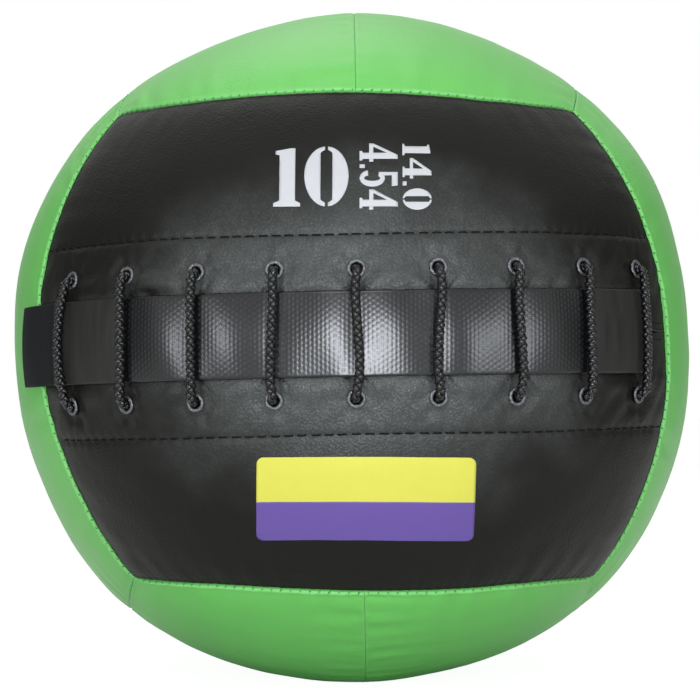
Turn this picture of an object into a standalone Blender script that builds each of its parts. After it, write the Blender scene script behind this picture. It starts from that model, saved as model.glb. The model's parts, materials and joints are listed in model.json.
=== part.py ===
"""Soft wall ball, 14 in across: a stuffed ball sewn from coated fabric panels.

The black front panel is split by a slit across its middle. A cover strip lies over the slit, and a braided cord
laced through nine pairs of eyelets holds both shut. Inside are a foam layer, fibre stuffing and a weight bag.

Metres, +Z up. The ball rests on the floor plane z = 0, and the laced front faces -Y.
"""

import math

import bmesh
import bpy
import numpy as np
from mathutils import Matrix, Vector

# Driving dimensions: the ball
BALL_WIDTH = 0.3582
BALL_DEPTH = 0.3556
BALL_HEIGHT = 0.3540
ROUNDNESS_SHARE = 2.14  # exponent of the outline: 2 is an ellipsoid, more is boxier
SETTLE = 0.0024  # how far the ball flattens where it rests

# Seams: each panel is drawn in along its edges and swells between them
SEAM_DEPTH = 0.0032
SEAM_REACH = 0.0075
THREAD_DIAMETER = 0.0008
SEAM_CLEARANCE = 0.0004

# Sheet goods
SKIN_THICKNESS = 0.0012
FACING_THICKNESS = 0.0010
STRIP_THICKNESS = 0.0015
STRIP_WIDTH = 0.0385
STRIP_LEFT_REACH = 0.1990
STRIP_RIGHT_OVERHANG = 0.0080
CLEARANCE = 0.0004  # between sheets that lie on each other

# Lacing
CORD_DIAMETER = 0.0046
CORD_CLEARANCE = 0.0004
EYELET_PITCH = 0.0374
EYELET_MARGIN = 0.0100  # from the strip's edge to the eyelets' centres
EYELET_WALL = 0.0004
EYELET_FLANGE = 0.0009
EYELET_RIM = 0.0006
EYELET_END_MARGIN = 0.0240  # least length from the last eyelets' centres to the side seams
SLIT_WIDTH = 0.0016
BELT_RISE = 0.0019  # the slit lies this far above the ball's middle
TOPSTITCH_MARGIN = 0.0164  # from the eyelets' centres to the long rows of stitching
FACING_HEM = 0.0030
KNOT_DIAMETER = 0.0070
TAIL_LENGTH = 0.0130
BAR_LENGTH = 0.0090  # of the close stitches that end the slit

# Filling
FOAM_THICKNESS = 0.0120
BAG_RADIUS = 0.0620
BAG_THICKNESS = 0.0010
HALF_GAP = 0.0003

# Places on the ball, as angles in degrees
EDGE_LAT = 40.8
CORNER_LAT = 39.3
EDGE_SAG = 4.3
SIDE_LON = 58.6
CORNER_LON = 53.6
SIDE_BOW = 5.0
SKEW = 3.5  # the top of each side seam leans left by this, and its foot leans right
CORNER_SEAM_MID = 50.0
BOTTOM_SEAM_LON = 1.7
BELT_TILT_SHARE = 0.019  # rise of the belt for each unit of longitude, to the right
TROUGH_LON = 60.0  # the foam stands back behind the lacing as far as this, and no more beyond the next two
TROUGH_END_LON = 75.0
TROUGH_END_LAT = 30.0

# Cells that the pieces are divided into
BACK_COLUMNS = 14
SIDE_COLUMNS = 8
HALF_COLUMNS = 7
OVER_ROWS = 10
SIDE_ROWS = 12
STRIP_COLUMNS = 26
STRIP_ROWS = 4
TOPSTITCH_CELLS = 32
EYELET_SIDES = 10
KNOT_ROWS = 6
BEND_CELLS = 3
STRAND_CELLS = 4
LAYER_ROWS = 12
BAG_ROWS = 8
SEAM_SAMPLES = 240
WELD_DISTANCE = 0.00001

# Worked out from the sizes above
HALF_AXES = np.array([BALL_WIDTH, BALL_DEPTH, BALL_HEIGHT]) / 2
REFERENCE_RADIUS = BALL_DEPTH / 2
REST_RADIUS = REFERENCE_RADIUS * (ROUNDNESS_SHARE * SETTLE / HALF_AXES[2]) ** (1 / ROUNDNESS_SHARE)
BELT_REACH = math.radians(SIDE_LON) * REFERENCE_RADIUS
EYELETS_PER_ROW = 2 * int((BELT_REACH - EYELET_END_MARGIN) / EYELET_PITCH) + 1
CORD_RADIUS = CORD_DIAMETER / 2
STRIP_SEAT = CLEARANCE
STRAND_HEIGHT = STRIP_SEAT + STRIP_THICKNESS + CORD_CLEARANCE + CORD_RADIUS
BORE_RADIUS = CORD_RADIUS + CORD_CLEARANCE
BARREL_RADIUS = BORE_RADIUS + EYELET_WALL
HOLE_RADIUS = BARREL_RADIUS + CLEARANCE
FLANGE_RADIUS = HOLE_RADIUS + EYELET_FLANGE
FACING_TOP = SKIN_THICKNESS + CLEARANCE
EYELET_REACH = FACING_TOP + FACING_THICKNESS + CLEARANCE
EYELET_ROW = STRIP_WIDTH / 2 + EYELET_MARGIN
TOPSTITCH_ROW = EYELET_ROW + TOPSTITCH_MARGIN
FACING_EDGE = TOPSTITCH_ROW + FACING_HEM
STRIP_RIGHT_REACH = (EYELETS_PER_ROW // 2) * EYELET_PITCH + STRIP_RIGHT_OVERHANG
BEND_RADIUS = STRAND_HEIGHT - EYELET_RIM
HIDDEN_DEPTH = EYELET_REACH + BEND_RADIUS
TROUGH_DEPTH = HIDDEN_DEPTH + KNOT_DIAMETER / 2 + CLEARANCE
SEAM_GAP = THREAD_DIAMETER + 2 * SEAM_CLEARANCE
THREAD_SINK = -THREAD_DIAMETER / 2
FOAM_OFFSET = SKIN_THICKNESS + SEAM_DEPTH + CLEARANCE
STUFFING_OFFSET = FOAM_OFFSET + FOAM_THICKNESS + CLEARANCE
BAG_HOLLOW_RADIUS = (BAG_RADIUS + CLEARANCE) / math.cos(math.radians(180 / LAYER_ROWS / 2)) ** 2
CENTRE = np.array([0.0, (STRAND_HEIGHT + CORD_RADIUS) / 2, BALL_HEIGHT / 2 - SETTLE])

LEATHER_BLACK = ("black_leather", (0.030, 0.030, 0.029), 0.48, 0.0)
LEATHER_GREEN = ("green_leather", (0.190, 0.500, 0.120), 0.42, 0.0)
STRIP_BLACK = ("cover_vinyl", (0.035, 0.037, 0.040), 0.28, 0.0)
CORD_BLACK = ("braided_nylon", (0.020, 0.020, 0.020), 0.75, 0.0)
EYELET_BLACK = ("enamelled_brass", (0.045, 0.045, 0.045), 0.25, 0.6)
THREAD_GREEN = ("green_thread", (0.020, 0.180, 0.060), 0.70, 0.0)
THREAD_BLACK = ("black_thread", (0.015, 0.015, 0.015), 0.70, 0.0)
FACING_CLOTH = ("facing_canvas", (0.080, 0.080, 0.085), 0.85, 0.0)
FOAM_GREY = ("foam", (0.550, 0.550, 0.520), 0.90, 0.0)
FIBRE_WHITE = ("fibre_stuffing", (0.700, 0.690, 0.650), 0.95, 0.0)
BAG_CANVAS = ("bag_canvas", (0.420, 0.360, 0.250), 0.90, 0.0)
SAND_TAN = ("sand", (0.500, 0.400, 0.270), 0.95, 0.0)


def clear_scene():
    for thing in list(bpy.data.objects):
        bpy.data.objects.remove(thing, do_unlink=True)


def collection(name):
    made = bpy.data.collections.new(name)
    bpy.context.scene.collection.children.link(made)
    return made


def material(kind):
    name, colour, roughness, metallic = kind
    made = bpy.data.materials.get(name)
    if made is None:
        made = bpy.data.materials.new(name)
        made.use_nodes = True
        shader = made.node_tree.nodes["Principled BSDF"]
        shader.inputs["Base Color"].default_value = (*colour, 1.0)
        shader.inputs["Roughness"].default_value = roughness
        shader.inputs["Metallic"].default_value = metallic
        made.diffuse_color = (*colour, 1.0)
    return made


def add_object(name, data, kind, home):
    thing = bpy.data.objects.new(name, data)
    home.objects.link(thing)
    if not data.materials:
        data.materials.append(material(kind))
    return thing


# The ball's surface

def unit(vectors):
    return vectors / np.linalg.norm(vectors, axis=-1, keepdims=True)


def toward(lon, lat):
    """Unit vectors at a longitude, from the front towards +X, and a latitude, both in radians."""
    lon, lat = np.broadcast_arrays(lon, lat)
    return np.stack([np.sin(lon) * np.cos(lat), -np.cos(lon) * np.cos(lat), np.sin(lat)], axis=-1)


def smooth_radius(way):
    """Distance from the centre to the ball's smooth outline along unit vectors."""
    return (np.abs(way / HALF_AXES) ** ROUNDNESS_SHARE).sum(axis=-1) ** (-1 / ROUNDNESS_SHARE)


def seam_drop(way):
    """How far the skin is drawn in along unit vectors, from the nearest seam."""
    flat = way.reshape(-1, 3)
    nearest = np.max(flat @ SEAM_MARKS.T, axis=1)
    distance = REFERENCE_RADIUS * np.arccos(np.clip(nearest, -1.0, 1.0))
    return (SEAM_DEPTH * np.exp(-distance / SEAM_REACH)).reshape(way.shape[:-1])


def on_skin(way, height=0.0, drawn_in=1.0):
    """Points on the skin along unit vectors, raised by a height and flattened where the ball rests."""
    reach = smooth_radius(way) + height
    if drawn_in:
        reach = reach - drawn_in * seam_drop(way)
    points = CENTRE + way * np.asarray(reach)[..., None]
    points[..., 2] = np.maximum(points[..., 2], np.maximum(-np.asarray(height), 0.0))
    return points


def outward(way):
    """Unit normals of the smooth outline along unit vectors."""
    powers = np.sign(way) * np.abs(way / HALF_AXES) ** (ROUNDNESS_SHARE - 1) / HALF_AXES
    return unit(powers)


# Seams, as functions of a share from 0 to 1 that return unit vectors

def mirrored(way):
    return way * np.array([1.0, -1.0, 1.0])


def side_lon(lat, side):
    """Longitude of the front panel's left (-1) or right (1) edge at a latitude, in degrees."""
    share = lat / CORNER_LAT
    fall = SIDE_LON - CORNER_LON + SIDE_BOW
    return side * (SIDE_LON - fall * share**2 + SIDE_BOW * share**4) - SKEW * share


def edge_lat(lon, level):
    """Latitude of the front panel's top (1) or bottom (-1) edge at a longitude, in degrees."""
    share = (lon + level * SKEW) / CORNER_LON
    fall = EDGE_LAT - CORNER_LAT + EDGE_SAG
    return level * (EDGE_LAT - fall * share**2 + EDGE_SAG * share**4)


def corner_lon(side, level):
    return side * CORNER_LON - level * SKEW


def belt_lat(lon):
    """Latitude of the slit at a longitude, both in degrees."""
    return math.degrees(BELT_RISE / REFERENCE_RADIUS) + BELT_TILT_SHARE * lon


def front_edge(level, lon_from, lon_to):
    def seam(share):
        lon = lon_from + (lon_to - lon_from) * share
        return toward(np.radians(lon), np.radians(edge_lat(lon, level)))
    return seam


def side_edge(side, lat_from, lat_to):
    def seam(share):
        lat = lat_from + (lat_to - lat_from) * share
        return toward(np.radians(side_lon(lat, side)), np.radians(lat))
    return seam


def slit_edge():
    lon_left, lon_right = belt_end(-1), belt_end(1)

    def seam(share):
        lon = lon_left + (lon_right - lon_left) * share
        return toward(np.radians(lon), np.radians(belt_lat(lon)))
    return seam


def belt_end(side):
    """Longitude at which the slit meets the front panel's left or right edge, in degrees."""
    rise = belt_lat(side * SIDE_LON)
    return side_lon(rise, side)


def over_seam(lon, lat, middle):
    """A seam that runs from a point on the front edge over the ball to its mirror image behind."""
    start = toward(math.radians(lon), math.radians(lat))
    reach = math.asin(-start[1])
    turn = math.atan2(start[2], start[0])

    def seam(share):
        lean = reach * (2 * share - 1)
        angle = math.radians(middle) + (turn - math.radians(middle)) * (lean / reach) ** 2
        flat = np.cos(lean)
        return np.stack([np.cos(angle) * flat, np.sin(lean), np.sin(angle) * flat], axis=-1)
    return seam


def corner_seam(side, level):
    middle = CORNER_SEAM_MID if side > 0 else 180 - CORNER_SEAM_MID
    return over_seam(corner_lon(side, level), level * CORNER_LAT, level * middle)


def centre_seam(level):
    lon = 0.0 if level > 0 else BOTTOM_SEAM_LON
    lat = edge_lat(lon, level)
    start = toward(math.radians(lon), math.radians(lat))
    return over_seam(lon, lat, math.degrees(math.atan2(start[2], start[0])))


def seam_samples():
    """Closely spaced unit vectors along every sewn seam."""
    shares = np.linspace(0.0, 1.0, SEAM_SAMPLES + 1)
    fronts = [front_edge(level, corner_lon(-1, level), corner_lon(1, level))(shares) for level in (-1, 1)]
    fronts += [side_edge(side, -CORNER_LAT, CORNER_LAT)(shares) for side in (-1, 1)]
    backs = [mirrored(seam) for seam in fronts]
    overs = [corner_seam(side, level)(shares) for side in (-1, 1) for level in (-1, 1)]
    overs += [centre_seam(level)(shares) for level in (-1, 1)]
    return np.concatenate(fronts + backs + overs)


SEAM_MARKS = seam_samples()


# Building sheets from patches of the surface

def graded(cells):
    """Shares from 0 to 1 that crowd together towards both ends."""
    even = np.linspace(0.0, 1.0, cells + 1)
    crowding_share = 0.72
    return even - crowding_share * np.sin(2 * np.pi * even) / (2 * np.pi)


def patch(low, high, left, right, across, up):
    """Unit vectors over a four-sided patch between four seams, as rows that run from low to high."""
    u, v = np.meshgrid(across, up)
    u, v = u[..., None], v[..., None]
    low_line, high_line = low(across)[None], high(across)[None]
    left_line, right_line = left(up)[:, None], right(up)[:, None]
    corners = [low(np.array([0.0])), low(np.array([1.0])), high(np.array([0.0])), high(np.array([1.0]))]
    ruled = (1 - v) * low_line + v * high_line + (1 - u) * left_line + u * right_line
    bilinear = (1 - u) * (1 - v) * corners[0] + u * (1 - v) * corners[1]
    bilinear = bilinear + (1 - u) * v * corners[2] + u * v * corners[3]
    return unit(ruled - bilinear)


def pull_edges(points, insets):
    """Moves a patch's low, high, left and right rows of points inwards, each by its inset."""
    low, high, left, right = insets
    moves = np.zeros_like(points)
    moves[0] += low * unit(points[1] - points[0])
    moves[-1] += high * unit(points[-2] - points[-1])
    moves[:, 0] += left * unit(points[:, 1] - points[:, 0])
    moves[:, -1] += right * unit(points[:, -2] - points[:, -1])
    return points + moves


def grid_object(name, points, kind, home):
    """An open sheet: a flat grid of cells wrapped on to rows of points, with its faces outwards."""
    rows, columns = points.shape[:2]
    shape = bmesh.new()
    bmesh.ops.create_grid(shape, x_segments=columns - 1, y_segments=rows - 1, size=1.0)
    shape.verts.ensure_lookup_table()
    order = sorted(shape.verts, key=lambda v: (round(v.co.y * rows), round(v.co.x * columns)))
    for vertex, place in zip(order, points.reshape(-1, 3)):
        vertex.co = Vector(place)
    shape.normal_update()
    middle = Vector(CENTRE)
    if sum((f.calc_center_median() - middle).dot(f.normal) for f in shape.faces) < 0:
        bmesh.ops.reverse_faces(shape, faces=shape.faces)
    mesh = bpy.data.meshes.new(name)
    shape.to_mesh(mesh)
    shape.free()
    mesh.shade_smooth()
    return add_object(name, mesh, kind, home)


def thicken(thing, thickness):
    wall = thing.modifiers.new("wall", "SOLIDIFY")
    wall.thickness = thickness
    wall.offset = -1.0
    wall.use_even_offset = False


def cut(thing, cutter):
    hole = thing.modifiers.new("eyelet_holes", "BOOLEAN")
    hole.operation = "DIFFERENCE"
    hole.object = cutter


# The skin

def front_columns():
    """Shares across the front panel: a line at each eyelet and half way between, crowded at the ends."""
    halves = np.arange(-EYELETS_PER_ROW, EYELETS_PER_ROW + 1) / 2
    lon = np.degrees(halves * EYELET_PITCH / REFERENCE_RADIUS)
    shares = (lon - belt_end(-1)) / (belt_end(1) - belt_end(-1))
    near_end_share = 0.3
    ends = [0.0, near_end_share * shares[0]]
    return np.concatenate([ends, shares, 1.0 - near_end_share * (1.0 - shares[-1:]), [1.0]])


def belt_rows():
    """Shares from the slit to a facing's far edge, with a line through the eyelets."""
    whole = math.radians(EDGE_LAT) * REFERENCE_RADIUS
    return np.array([0.0, EYELET_ROW / 2, EYELET_ROW, FACING_EDGE]) / whole


def front_rows():
    """Shares from the slit to the front panel's rim."""
    start = belt_rows()[-1]
    beyond_shares = np.array([0.35, 0.68, 0.88, 0.96, 1.0])
    return np.concatenate([belt_rows(), start + (1.0 - start) * beyond_shares])


def front_patch(level, across, up):
    """The half of the front panel above (1) or below (-1) the slit, in rows away from the slit."""
    rim = front_edge(level, corner_lon(-1, level), corner_lon(1, level))
    sides = [side_edge(side, belt_lat(belt_end(side)), level * CORNER_LAT) for side in (-1, 1)]
    return patch(slit_edge(), rim, sides[0], sides[1], across, up)


def front_panel(name, level, holes, home):
    way = front_patch(level, front_columns(), front_rows())
    half = SEAM_GAP / 2
    points = pull_edges(on_skin(way), (SLIT_WIDTH / 2, half, half, half))
    panel = grid_object(name, points, LEATHER_BLACK, home)
    thicken(panel, SKIN_THICKNESS)
    cut(panel, holes)


def back_panel(home):
    rims = [front_edge(level, corner_lon(-1, level), corner_lon(1, level)) for level in (-1, 1)]
    sides = [side_edge(side, -CORNER_LAT, CORNER_LAT) for side in (-1, 1)]
    way = mirrored(patch(rims[0], rims[1], sides[0], sides[1], graded(BACK_COLUMNS), graded(SIDE_ROWS)))
    points = pull_edges(on_skin(way), (SEAM_GAP / 2,) * 4)
    thicken(grid_object("back_panel", points, LEATHER_BLACK, home), SKIN_THICKNESS)


def side_panel(name, side, home):
    front = side_edge(side, -CORNER_LAT, CORNER_LAT)

    def back(share):
        return mirrored(front(share))
    seams = (corner_seam(side, -1), corner_seam(side, 1))
    way = patch(seams[0], seams[1], front, back, graded(SIDE_COLUMNS), graded(SIDE_ROWS))
    points = pull_edges(on_skin(way), (SEAM_GAP / 2,) * 4)
    thicken(grid_object(name, points, LEATHER_GREEN, home), SKIN_THICKNESS)


def over_rows(level):
    """Shares from front to back over the ball; the bottom has extra lines across its flat rest."""
    shares = graded(OVER_ROWS)
    if level < 0:
        span = REFERENCE_RADIUS * math.radians(180 - 2 * EDGE_LAT)
        flat = np.array([0.5, 1.0]) * REST_RADIUS / span
        shares = np.unique(np.concatenate([shares, 0.5 - flat, 0.5 + flat]))
    return shares


def cap_panel(name, side, level, home):
    """Half of the top (1) or bottom (-1) panel, to the left (-1) or right (1) of its centre seam."""
    middle = 0.0 if level > 0 else BOTTOM_SEAM_LON
    front = front_edge(level, corner_lon(side, level), middle)

    def back(share):
        return mirrored(front(share))
    seams = (corner_seam(side, level), centre_seam(level))
    way = patch(front, back, seams[0], seams[1], graded(HALF_COLUMNS), over_rows(level))
    points = pull_edges(on_skin(way), (SEAM_GAP / 2,) * 4)
    thicken(grid_object(name, points, LEATHER_GREEN, home), SKIN_THICKNESS)


# The belt: positions along the slit and up from it, as lengths on the surface

def belt_way(along, up):
    lon = np.degrees(np.asarray(along) / REFERENCE_RADIUS)
    lat = belt_lat(lon) + np.degrees(np.asarray(up) / REFERENCE_RADIUS)
    return toward(np.radians(lon), np.radians(lat))


def eyelet_places(level):
    middle = (EYELETS_PER_ROW - 1) / 2
    return [((index - middle) * EYELET_PITCH, level * EYELET_ROW) for index in range(EYELETS_PER_ROW)]


def eyelet_frame(place):
    """Centre, outward normal and the direction along the surface towards the slit."""
    way = belt_way(*place)
    normal = outward(way)
    step = on_skin(belt_way(place[0], 0.0), drawn_in=0.0) - on_skin(way, drawn_in=0.0)
    inward = unit(step - normal * np.dot(step, normal))
    return on_skin(way, drawn_in=0.0), normal, inward


def facing(name, level, holes, home):
    """Canvas strip behind one edge of the slit, which the eyelets clamp."""
    way = front_patch(level, front_columns()[2:-2], belt_rows())
    height = -FACING_TOP
    points = pull_edges(on_skin(way, height), (SLIT_WIDTH / 2, 0.0, 0.0, 0.0))
    piece = grid_object(name, points, FACING_CLOTH, home)
    thicken(piece, FACING_THICKNESS)
    cut(piece, holes)


def cover_strip(home):
    """Vinyl strip over the slit, its left end out on the left side panel."""
    along = np.linspace(-STRIP_LEFT_REACH, STRIP_RIGHT_REACH, STRIP_COLUMNS + 1)
    up = np.linspace(-STRIP_WIDTH / 2, STRIP_WIDTH / 2, STRIP_ROWS + 1)
    a, b = np.meshgrid(along, up)
    height = STRIP_SEAT + STRIP_THICKNESS
    points = on_skin(belt_way(a, b), height, drawn_in=0.0)
    thicken(grid_object("cover_strip", points, STRIP_BLACK, home), STRIP_THICKNESS)


def hole_cutter(name, level, home):
    """A row of pegs that punch the eyelets' holes."""
    shape = bmesh.new()
    for place in eyelet_places(level):
        centre, normal, _ = eyelet_frame(place)
        turn = Vector(normal).to_track_quat("Z", "Y").to_matrix().to_4x4()
        bmesh.ops.create_cone(
            shape, cap_ends=True, segments=EYELET_SIDES, radius1=HOLE_RADIUS, radius2=HOLE_RADIUS,
            depth=4 * EYELET_REACH, matrix=Matrix.Translation(Vector(centre)) @ turn,
        )
    mesh = bpy.data.meshes.new(name)
    shape.to_mesh(mesh)
    shape.free()
    cutter = bpy.data.objects.new(name, mesh)
    home.objects.link(cutter)
    cutter.hide_render = True
    cutter.display_type = "WIRE"
    return cutter


def eyelet_mesh():
    """Closed outline of an eyelet's wall, run down its outer side and up the bore."""
    outline = [
        (BORE_RADIUS, EYELET_RIM + CLEARANCE), (FLANGE_RADIUS - EYELET_RIM / 2, EYELET_RIM + CLEARANCE),
        (FLANGE_RADIUS, CLEARANCE), (BARREL_RADIUS, CLEARANCE),
        (BARREL_RADIUS, -EYELET_REACH), (BORE_RADIUS, -EYELET_REACH),
    ]
    mesh = bpy.data.meshes.new("eyelet")
    count = len(outline)
    mesh.from_pydata([(r, 0.0, z) for r, z in outline], [(i, (i + 1) % count) for i in range(count)], [])
    mesh.materials.append(material(EYELET_BLACK))
    return mesh


def eyelets(home):
    mesh = eyelet_mesh()
    for label, level in (("upper", 1), ("lower", -1)):
        for index, place in enumerate(eyelet_places(level)):
            centre, normal, _ = eyelet_frame(place)
            ring = add_object(f"{label}_eyelet_{index + 1}", mesh, EYELET_BLACK, home)
            ring.location = Vector(centre)
            ring.rotation_mode = "QUATERNION"
            ring.rotation_quaternion = Vector(normal).to_track_quat("Z", "Y")
            turned = ring.modifiers.new("turned", "SCREW")
            turned.steps = EYELET_SIDES
            turned.render_steps = EYELET_SIDES
            turned.use_merge_vertices = True
            turned.merge_threshold = WELD_DISTANCE


# Cords and threads

def tube(name, points, diameter, kind, home, roundness=0, closed=False):
    """A round cord along points, with its ends closed."""
    curve = bpy.data.curves.new(name, "CURVE")
    curve.dimensions = "3D"
    curve.bevel_depth = diameter / 2
    curve.bevel_resolution = roundness
    curve.use_fill_caps = not closed
    line = curve.splines.new("POLY")
    line.points.add(len(points) - 1)
    for knot, place in zip(line.points, points):
        knot.co = (*place, 1.0)
    line.use_cyclic_u = closed
    return add_object(name, curve, kind, home)


def bend(centre, normal, onward, lift):
    """Points of a quarter turn from along the normal to along onward, starting lift above the centre."""
    angles = np.linspace(0.0, np.pi / 2, BEND_CELLS + 1)
    rise = np.sign(lift) * BEND_RADIUS * np.sin(angles) + lift
    run = BEND_RADIUS * (1 - np.cos(angles))
    return [centre + normal * h + onward * s for h, s in zip(rise, run)]


def strand(index):
    """The visible stretch from an upper eyelet over the strip to the lower one."""
    upper = eyelet_frame(eyelet_places(1)[index])
    lower = eyelet_frame(eyelet_places(-1)[index])
    along = eyelet_places(1)[index][0]
    span = EYELET_ROW - BEND_RADIUS
    ups = np.linspace(span, -span, STRAND_CELLS + 1)[1:-1]
    over = [on_skin(belt_way(along, up), STRAND_HEIGHT, 0.0) for up in ups]
    return bend(*upper, EYELET_RIM) + over + bend(*lower, EYELET_RIM)[::-1]


def hidden_stretch(index):
    """The stretch behind the skin from a lower eyelet to the next upper one."""
    start_place, end_place = eyelet_places(-1)[index], eyelet_places(1)[index + 1]
    start, end = eyelet_frame(start_place), eyelet_frame(end_place)
    step = end[0] - start[0]
    onward = unit(step - start[1] * np.dot(step, start[1]))
    back = unit(-step + end[1] * np.dot(step, end[1]))
    shares = np.array([1 / 3, 2 / 3])
    along = start_place[0] + shares * (end_place[0] - start_place[0])
    up = start_place[1] + shares * (end_place[1] - start_place[1])
    run = list(on_skin(belt_way(along, up), -HIDDEN_DEPTH, 0.0))
    leave = bend(start[0], start[1], onward, -EYELET_REACH)
    arrive = bend(end[0], end[1], back, -EYELET_REACH)
    return leave + run + arrive[::-1]


def tail(place):
    """The stretch from an end eyelet to its knot, behind the skin."""
    centre, normal, inward = eyelet_frame(place)
    turn = bend(centre, normal, inward, -EYELET_REACH)
    reach = turn[-1] + inward * (TAIL_LENGTH - BEND_RADIUS)
    return turn + [reach]


def lacing(home):
    upper, lower = eyelet_places(1), eyelet_places(-1)
    first, last = tail(upper[0]), tail(lower[-1])
    points = first[::-1]
    for index in range(EYELETS_PER_ROW):
        points += strand(index)
        if index < EYELETS_PER_ROW - 1:
            points += hidden_stretch(index)
    points += last
    tube("lacing_cord", points, CORD_DIAMETER, CORD_BLACK, home, roundness=1)
    for name, end, place in (("lace_knot_left", first, upper[0]), ("lace_knot_right", last, lower[-1])):
        inward = unit(end[-1] - end[-2])
        centre = end[-1] + inward * (KNOT_DIAMETER / 2 + CLEARANCE)
        knot(name, centre, inward, home)


def knot(name, centre, way, home):
    """Stopper knot drawn up at a cord's end, as a rounded lump."""
    mesh = bpy.data.meshes.new(name)
    shape = bmesh.new()
    bmesh.ops.create_uvsphere(shape, u_segments=2 * KNOT_ROWS, v_segments=KNOT_ROWS, radius=KNOT_DIAMETER / 2)
    shape.to_mesh(mesh)
    shape.free()
    lump = add_object(name, mesh, CORD_BLACK, home)
    lump.location = Vector(centre)
    lump.rotation_mode = "QUATERNION"
    lump.rotation_quaternion = Vector(way).to_track_quat("Z", "Y")


def topstitch(name, level, home):
    """Long row of stitching that holds a facing, laid on the skin."""
    reach = math.radians(side_lon(level * math.degrees(TOPSTITCH_ROW / REFERENCE_RADIUS), 1)) * REFERENCE_RADIUS
    stop = reach - SEAM_REACH - 2 * SEAM_GAP
    along = np.linspace(-stop, stop, TOPSTITCH_CELLS + 1)
    height = THREAD_DIAMETER / 2 + CLEARANCE
    points = on_skin(belt_way(along, level * TOPSTITCH_ROW), height)
    tube(name, points, THREAD_DIAMETER, THREAD_BLACK, home)


def seam_loop(name, flip, home):
    """Thread all the way round the front or back panel."""
    columns = graded(BACK_COLUMNS) if flip else front_columns()
    rows = graded(SIDE_ROWS)[:-1]
    top = front_edge(1, corner_lon(-1, 1), corner_lon(1, 1))(columns[:-1])
    right = side_edge(1, CORNER_LAT, -CORNER_LAT)(rows)
    bottom = front_edge(-1, corner_lon(-1, -1), corner_lon(1, -1))(columns[:0:-1])
    left = side_edge(-1, -CORNER_LAT, CORNER_LAT)(rows)
    way = np.concatenate([top, right, bottom, left])
    if flip:
        way = mirrored(way)
    tube(name, on_skin(way, THREAD_SINK), THREAD_DIAMETER, THREAD_GREEN, home, closed=True)


def seam_line(name, seam, home):
    """Thread along a seam that runs over the ball, stopping short of the panels' own threads."""
    span = REFERENCE_RADIUS * math.acos(np.dot(seam(0.0), seam(1.0)))
    margin = SEAM_GAP / span
    shares = margin + (1 - 2 * margin) * graded(OVER_ROWS)
    tube(name, on_skin(seam(shares), THREAD_SINK), THREAD_DIAMETER, THREAD_GREEN, home)


def slit_bar(name, side, home):
    """Bar of close stitches that ends the slit."""
    start = math.radians(abs(belt_end(side))) * REFERENCE_RADIUS - SEAM_REACH
    along = side * np.linspace(start - BAR_LENGTH, start, 4)
    tube(name, on_skin(belt_way(along, 0.0), THREAD_SINK), THREAD_DIAMETER, THREAD_BLACK, home)


# The filling

def half_ball(name, side, outer, inner, rows, kind, home):
    """Front (-1) or back (1) half of a thick ball wall, between two rules for its radius."""
    shape = bmesh.new()
    bmesh.ops.create_uvsphere(shape, u_segments=2 * rows, v_segments=rows, radius=1.0)
    half_cell_share = math.sin(math.pi / rows) / 2
    unwanted = [v for v in shape.verts if side * v.co.y < -half_cell_share * math.hypot(v.co.x, v.co.y)]
    bmesh.ops.delete(shape, geom=unwanted, context="VERTS")
    copy = bmesh.ops.duplicate(shape, geom=shape.verts[:] + shape.edges[:] + shape.faces[:])["geom"]
    inside = [item for item in copy if isinstance(item, bmesh.types.BMVert)]
    outside = [v for v in shape.verts if v not in set(inside)]
    bmesh.ops.reverse_faces(shape, faces=[item for item in copy if isinstance(item, bmesh.types.BMFace)])
    for vertices, rule in ((outside, outer), (inside, inner)):
        way = unit(np.array([v.co for v in vertices]))
        points = rule(way)
        points[:, 1] = CENTRE[1] + side * np.maximum(side * (points[:, 1] - CENTRE[1]), HALF_GAP)
        for vertex, place in zip(vertices, points):
            vertex.co = Vector(place)
    rims = [edge for edge in shape.edges if edge.is_boundary]
    bmesh.ops.bridge_loops(shape, edges=rims)
    bmesh.ops.recalc_face_normals(shape, faces=shape.faces)
    mesh = bpy.data.meshes.new(name)
    shape.to_mesh(mesh)
    shape.free()
    mesh.shade_smooth()
    return add_object(name, mesh, kind, home)


def trough(way):
    """Share from 0 to 1 by which the foam stands back behind the lacing."""
    lon = np.degrees(np.arctan2(way[:, 0], -way[:, 1]))
    lat = np.degrees(np.arcsin(np.clip(way[:, 2], -1.0, 1.0)))
    facing_lat = math.degrees(FACING_EDGE / REFERENCE_RADIUS)
    across = np.clip((TROUGH_END_LON - np.abs(lon)) / (TROUGH_END_LON - TROUGH_LON), 0.0, 1.0)
    up = np.clip((TROUGH_END_LAT - np.abs(lat)) / (TROUGH_END_LAT - facing_lat), 0.0, 1.0)
    return across * up


def layer(offset):
    """Rule for a surface at one depth below the skin."""
    def rule(way):
        return on_skin(way, -offset, drawn_in=0.0)
    return rule


def foam_outer(way):
    return on_skin(way, -FOAM_OFFSET - (TROUGH_DEPTH - FOAM_OFFSET) * trough(way), drawn_in=0.0)


def ball_rule(radius):
    def rule(way):
        return CENTRE + way * radius
    return rule


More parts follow.
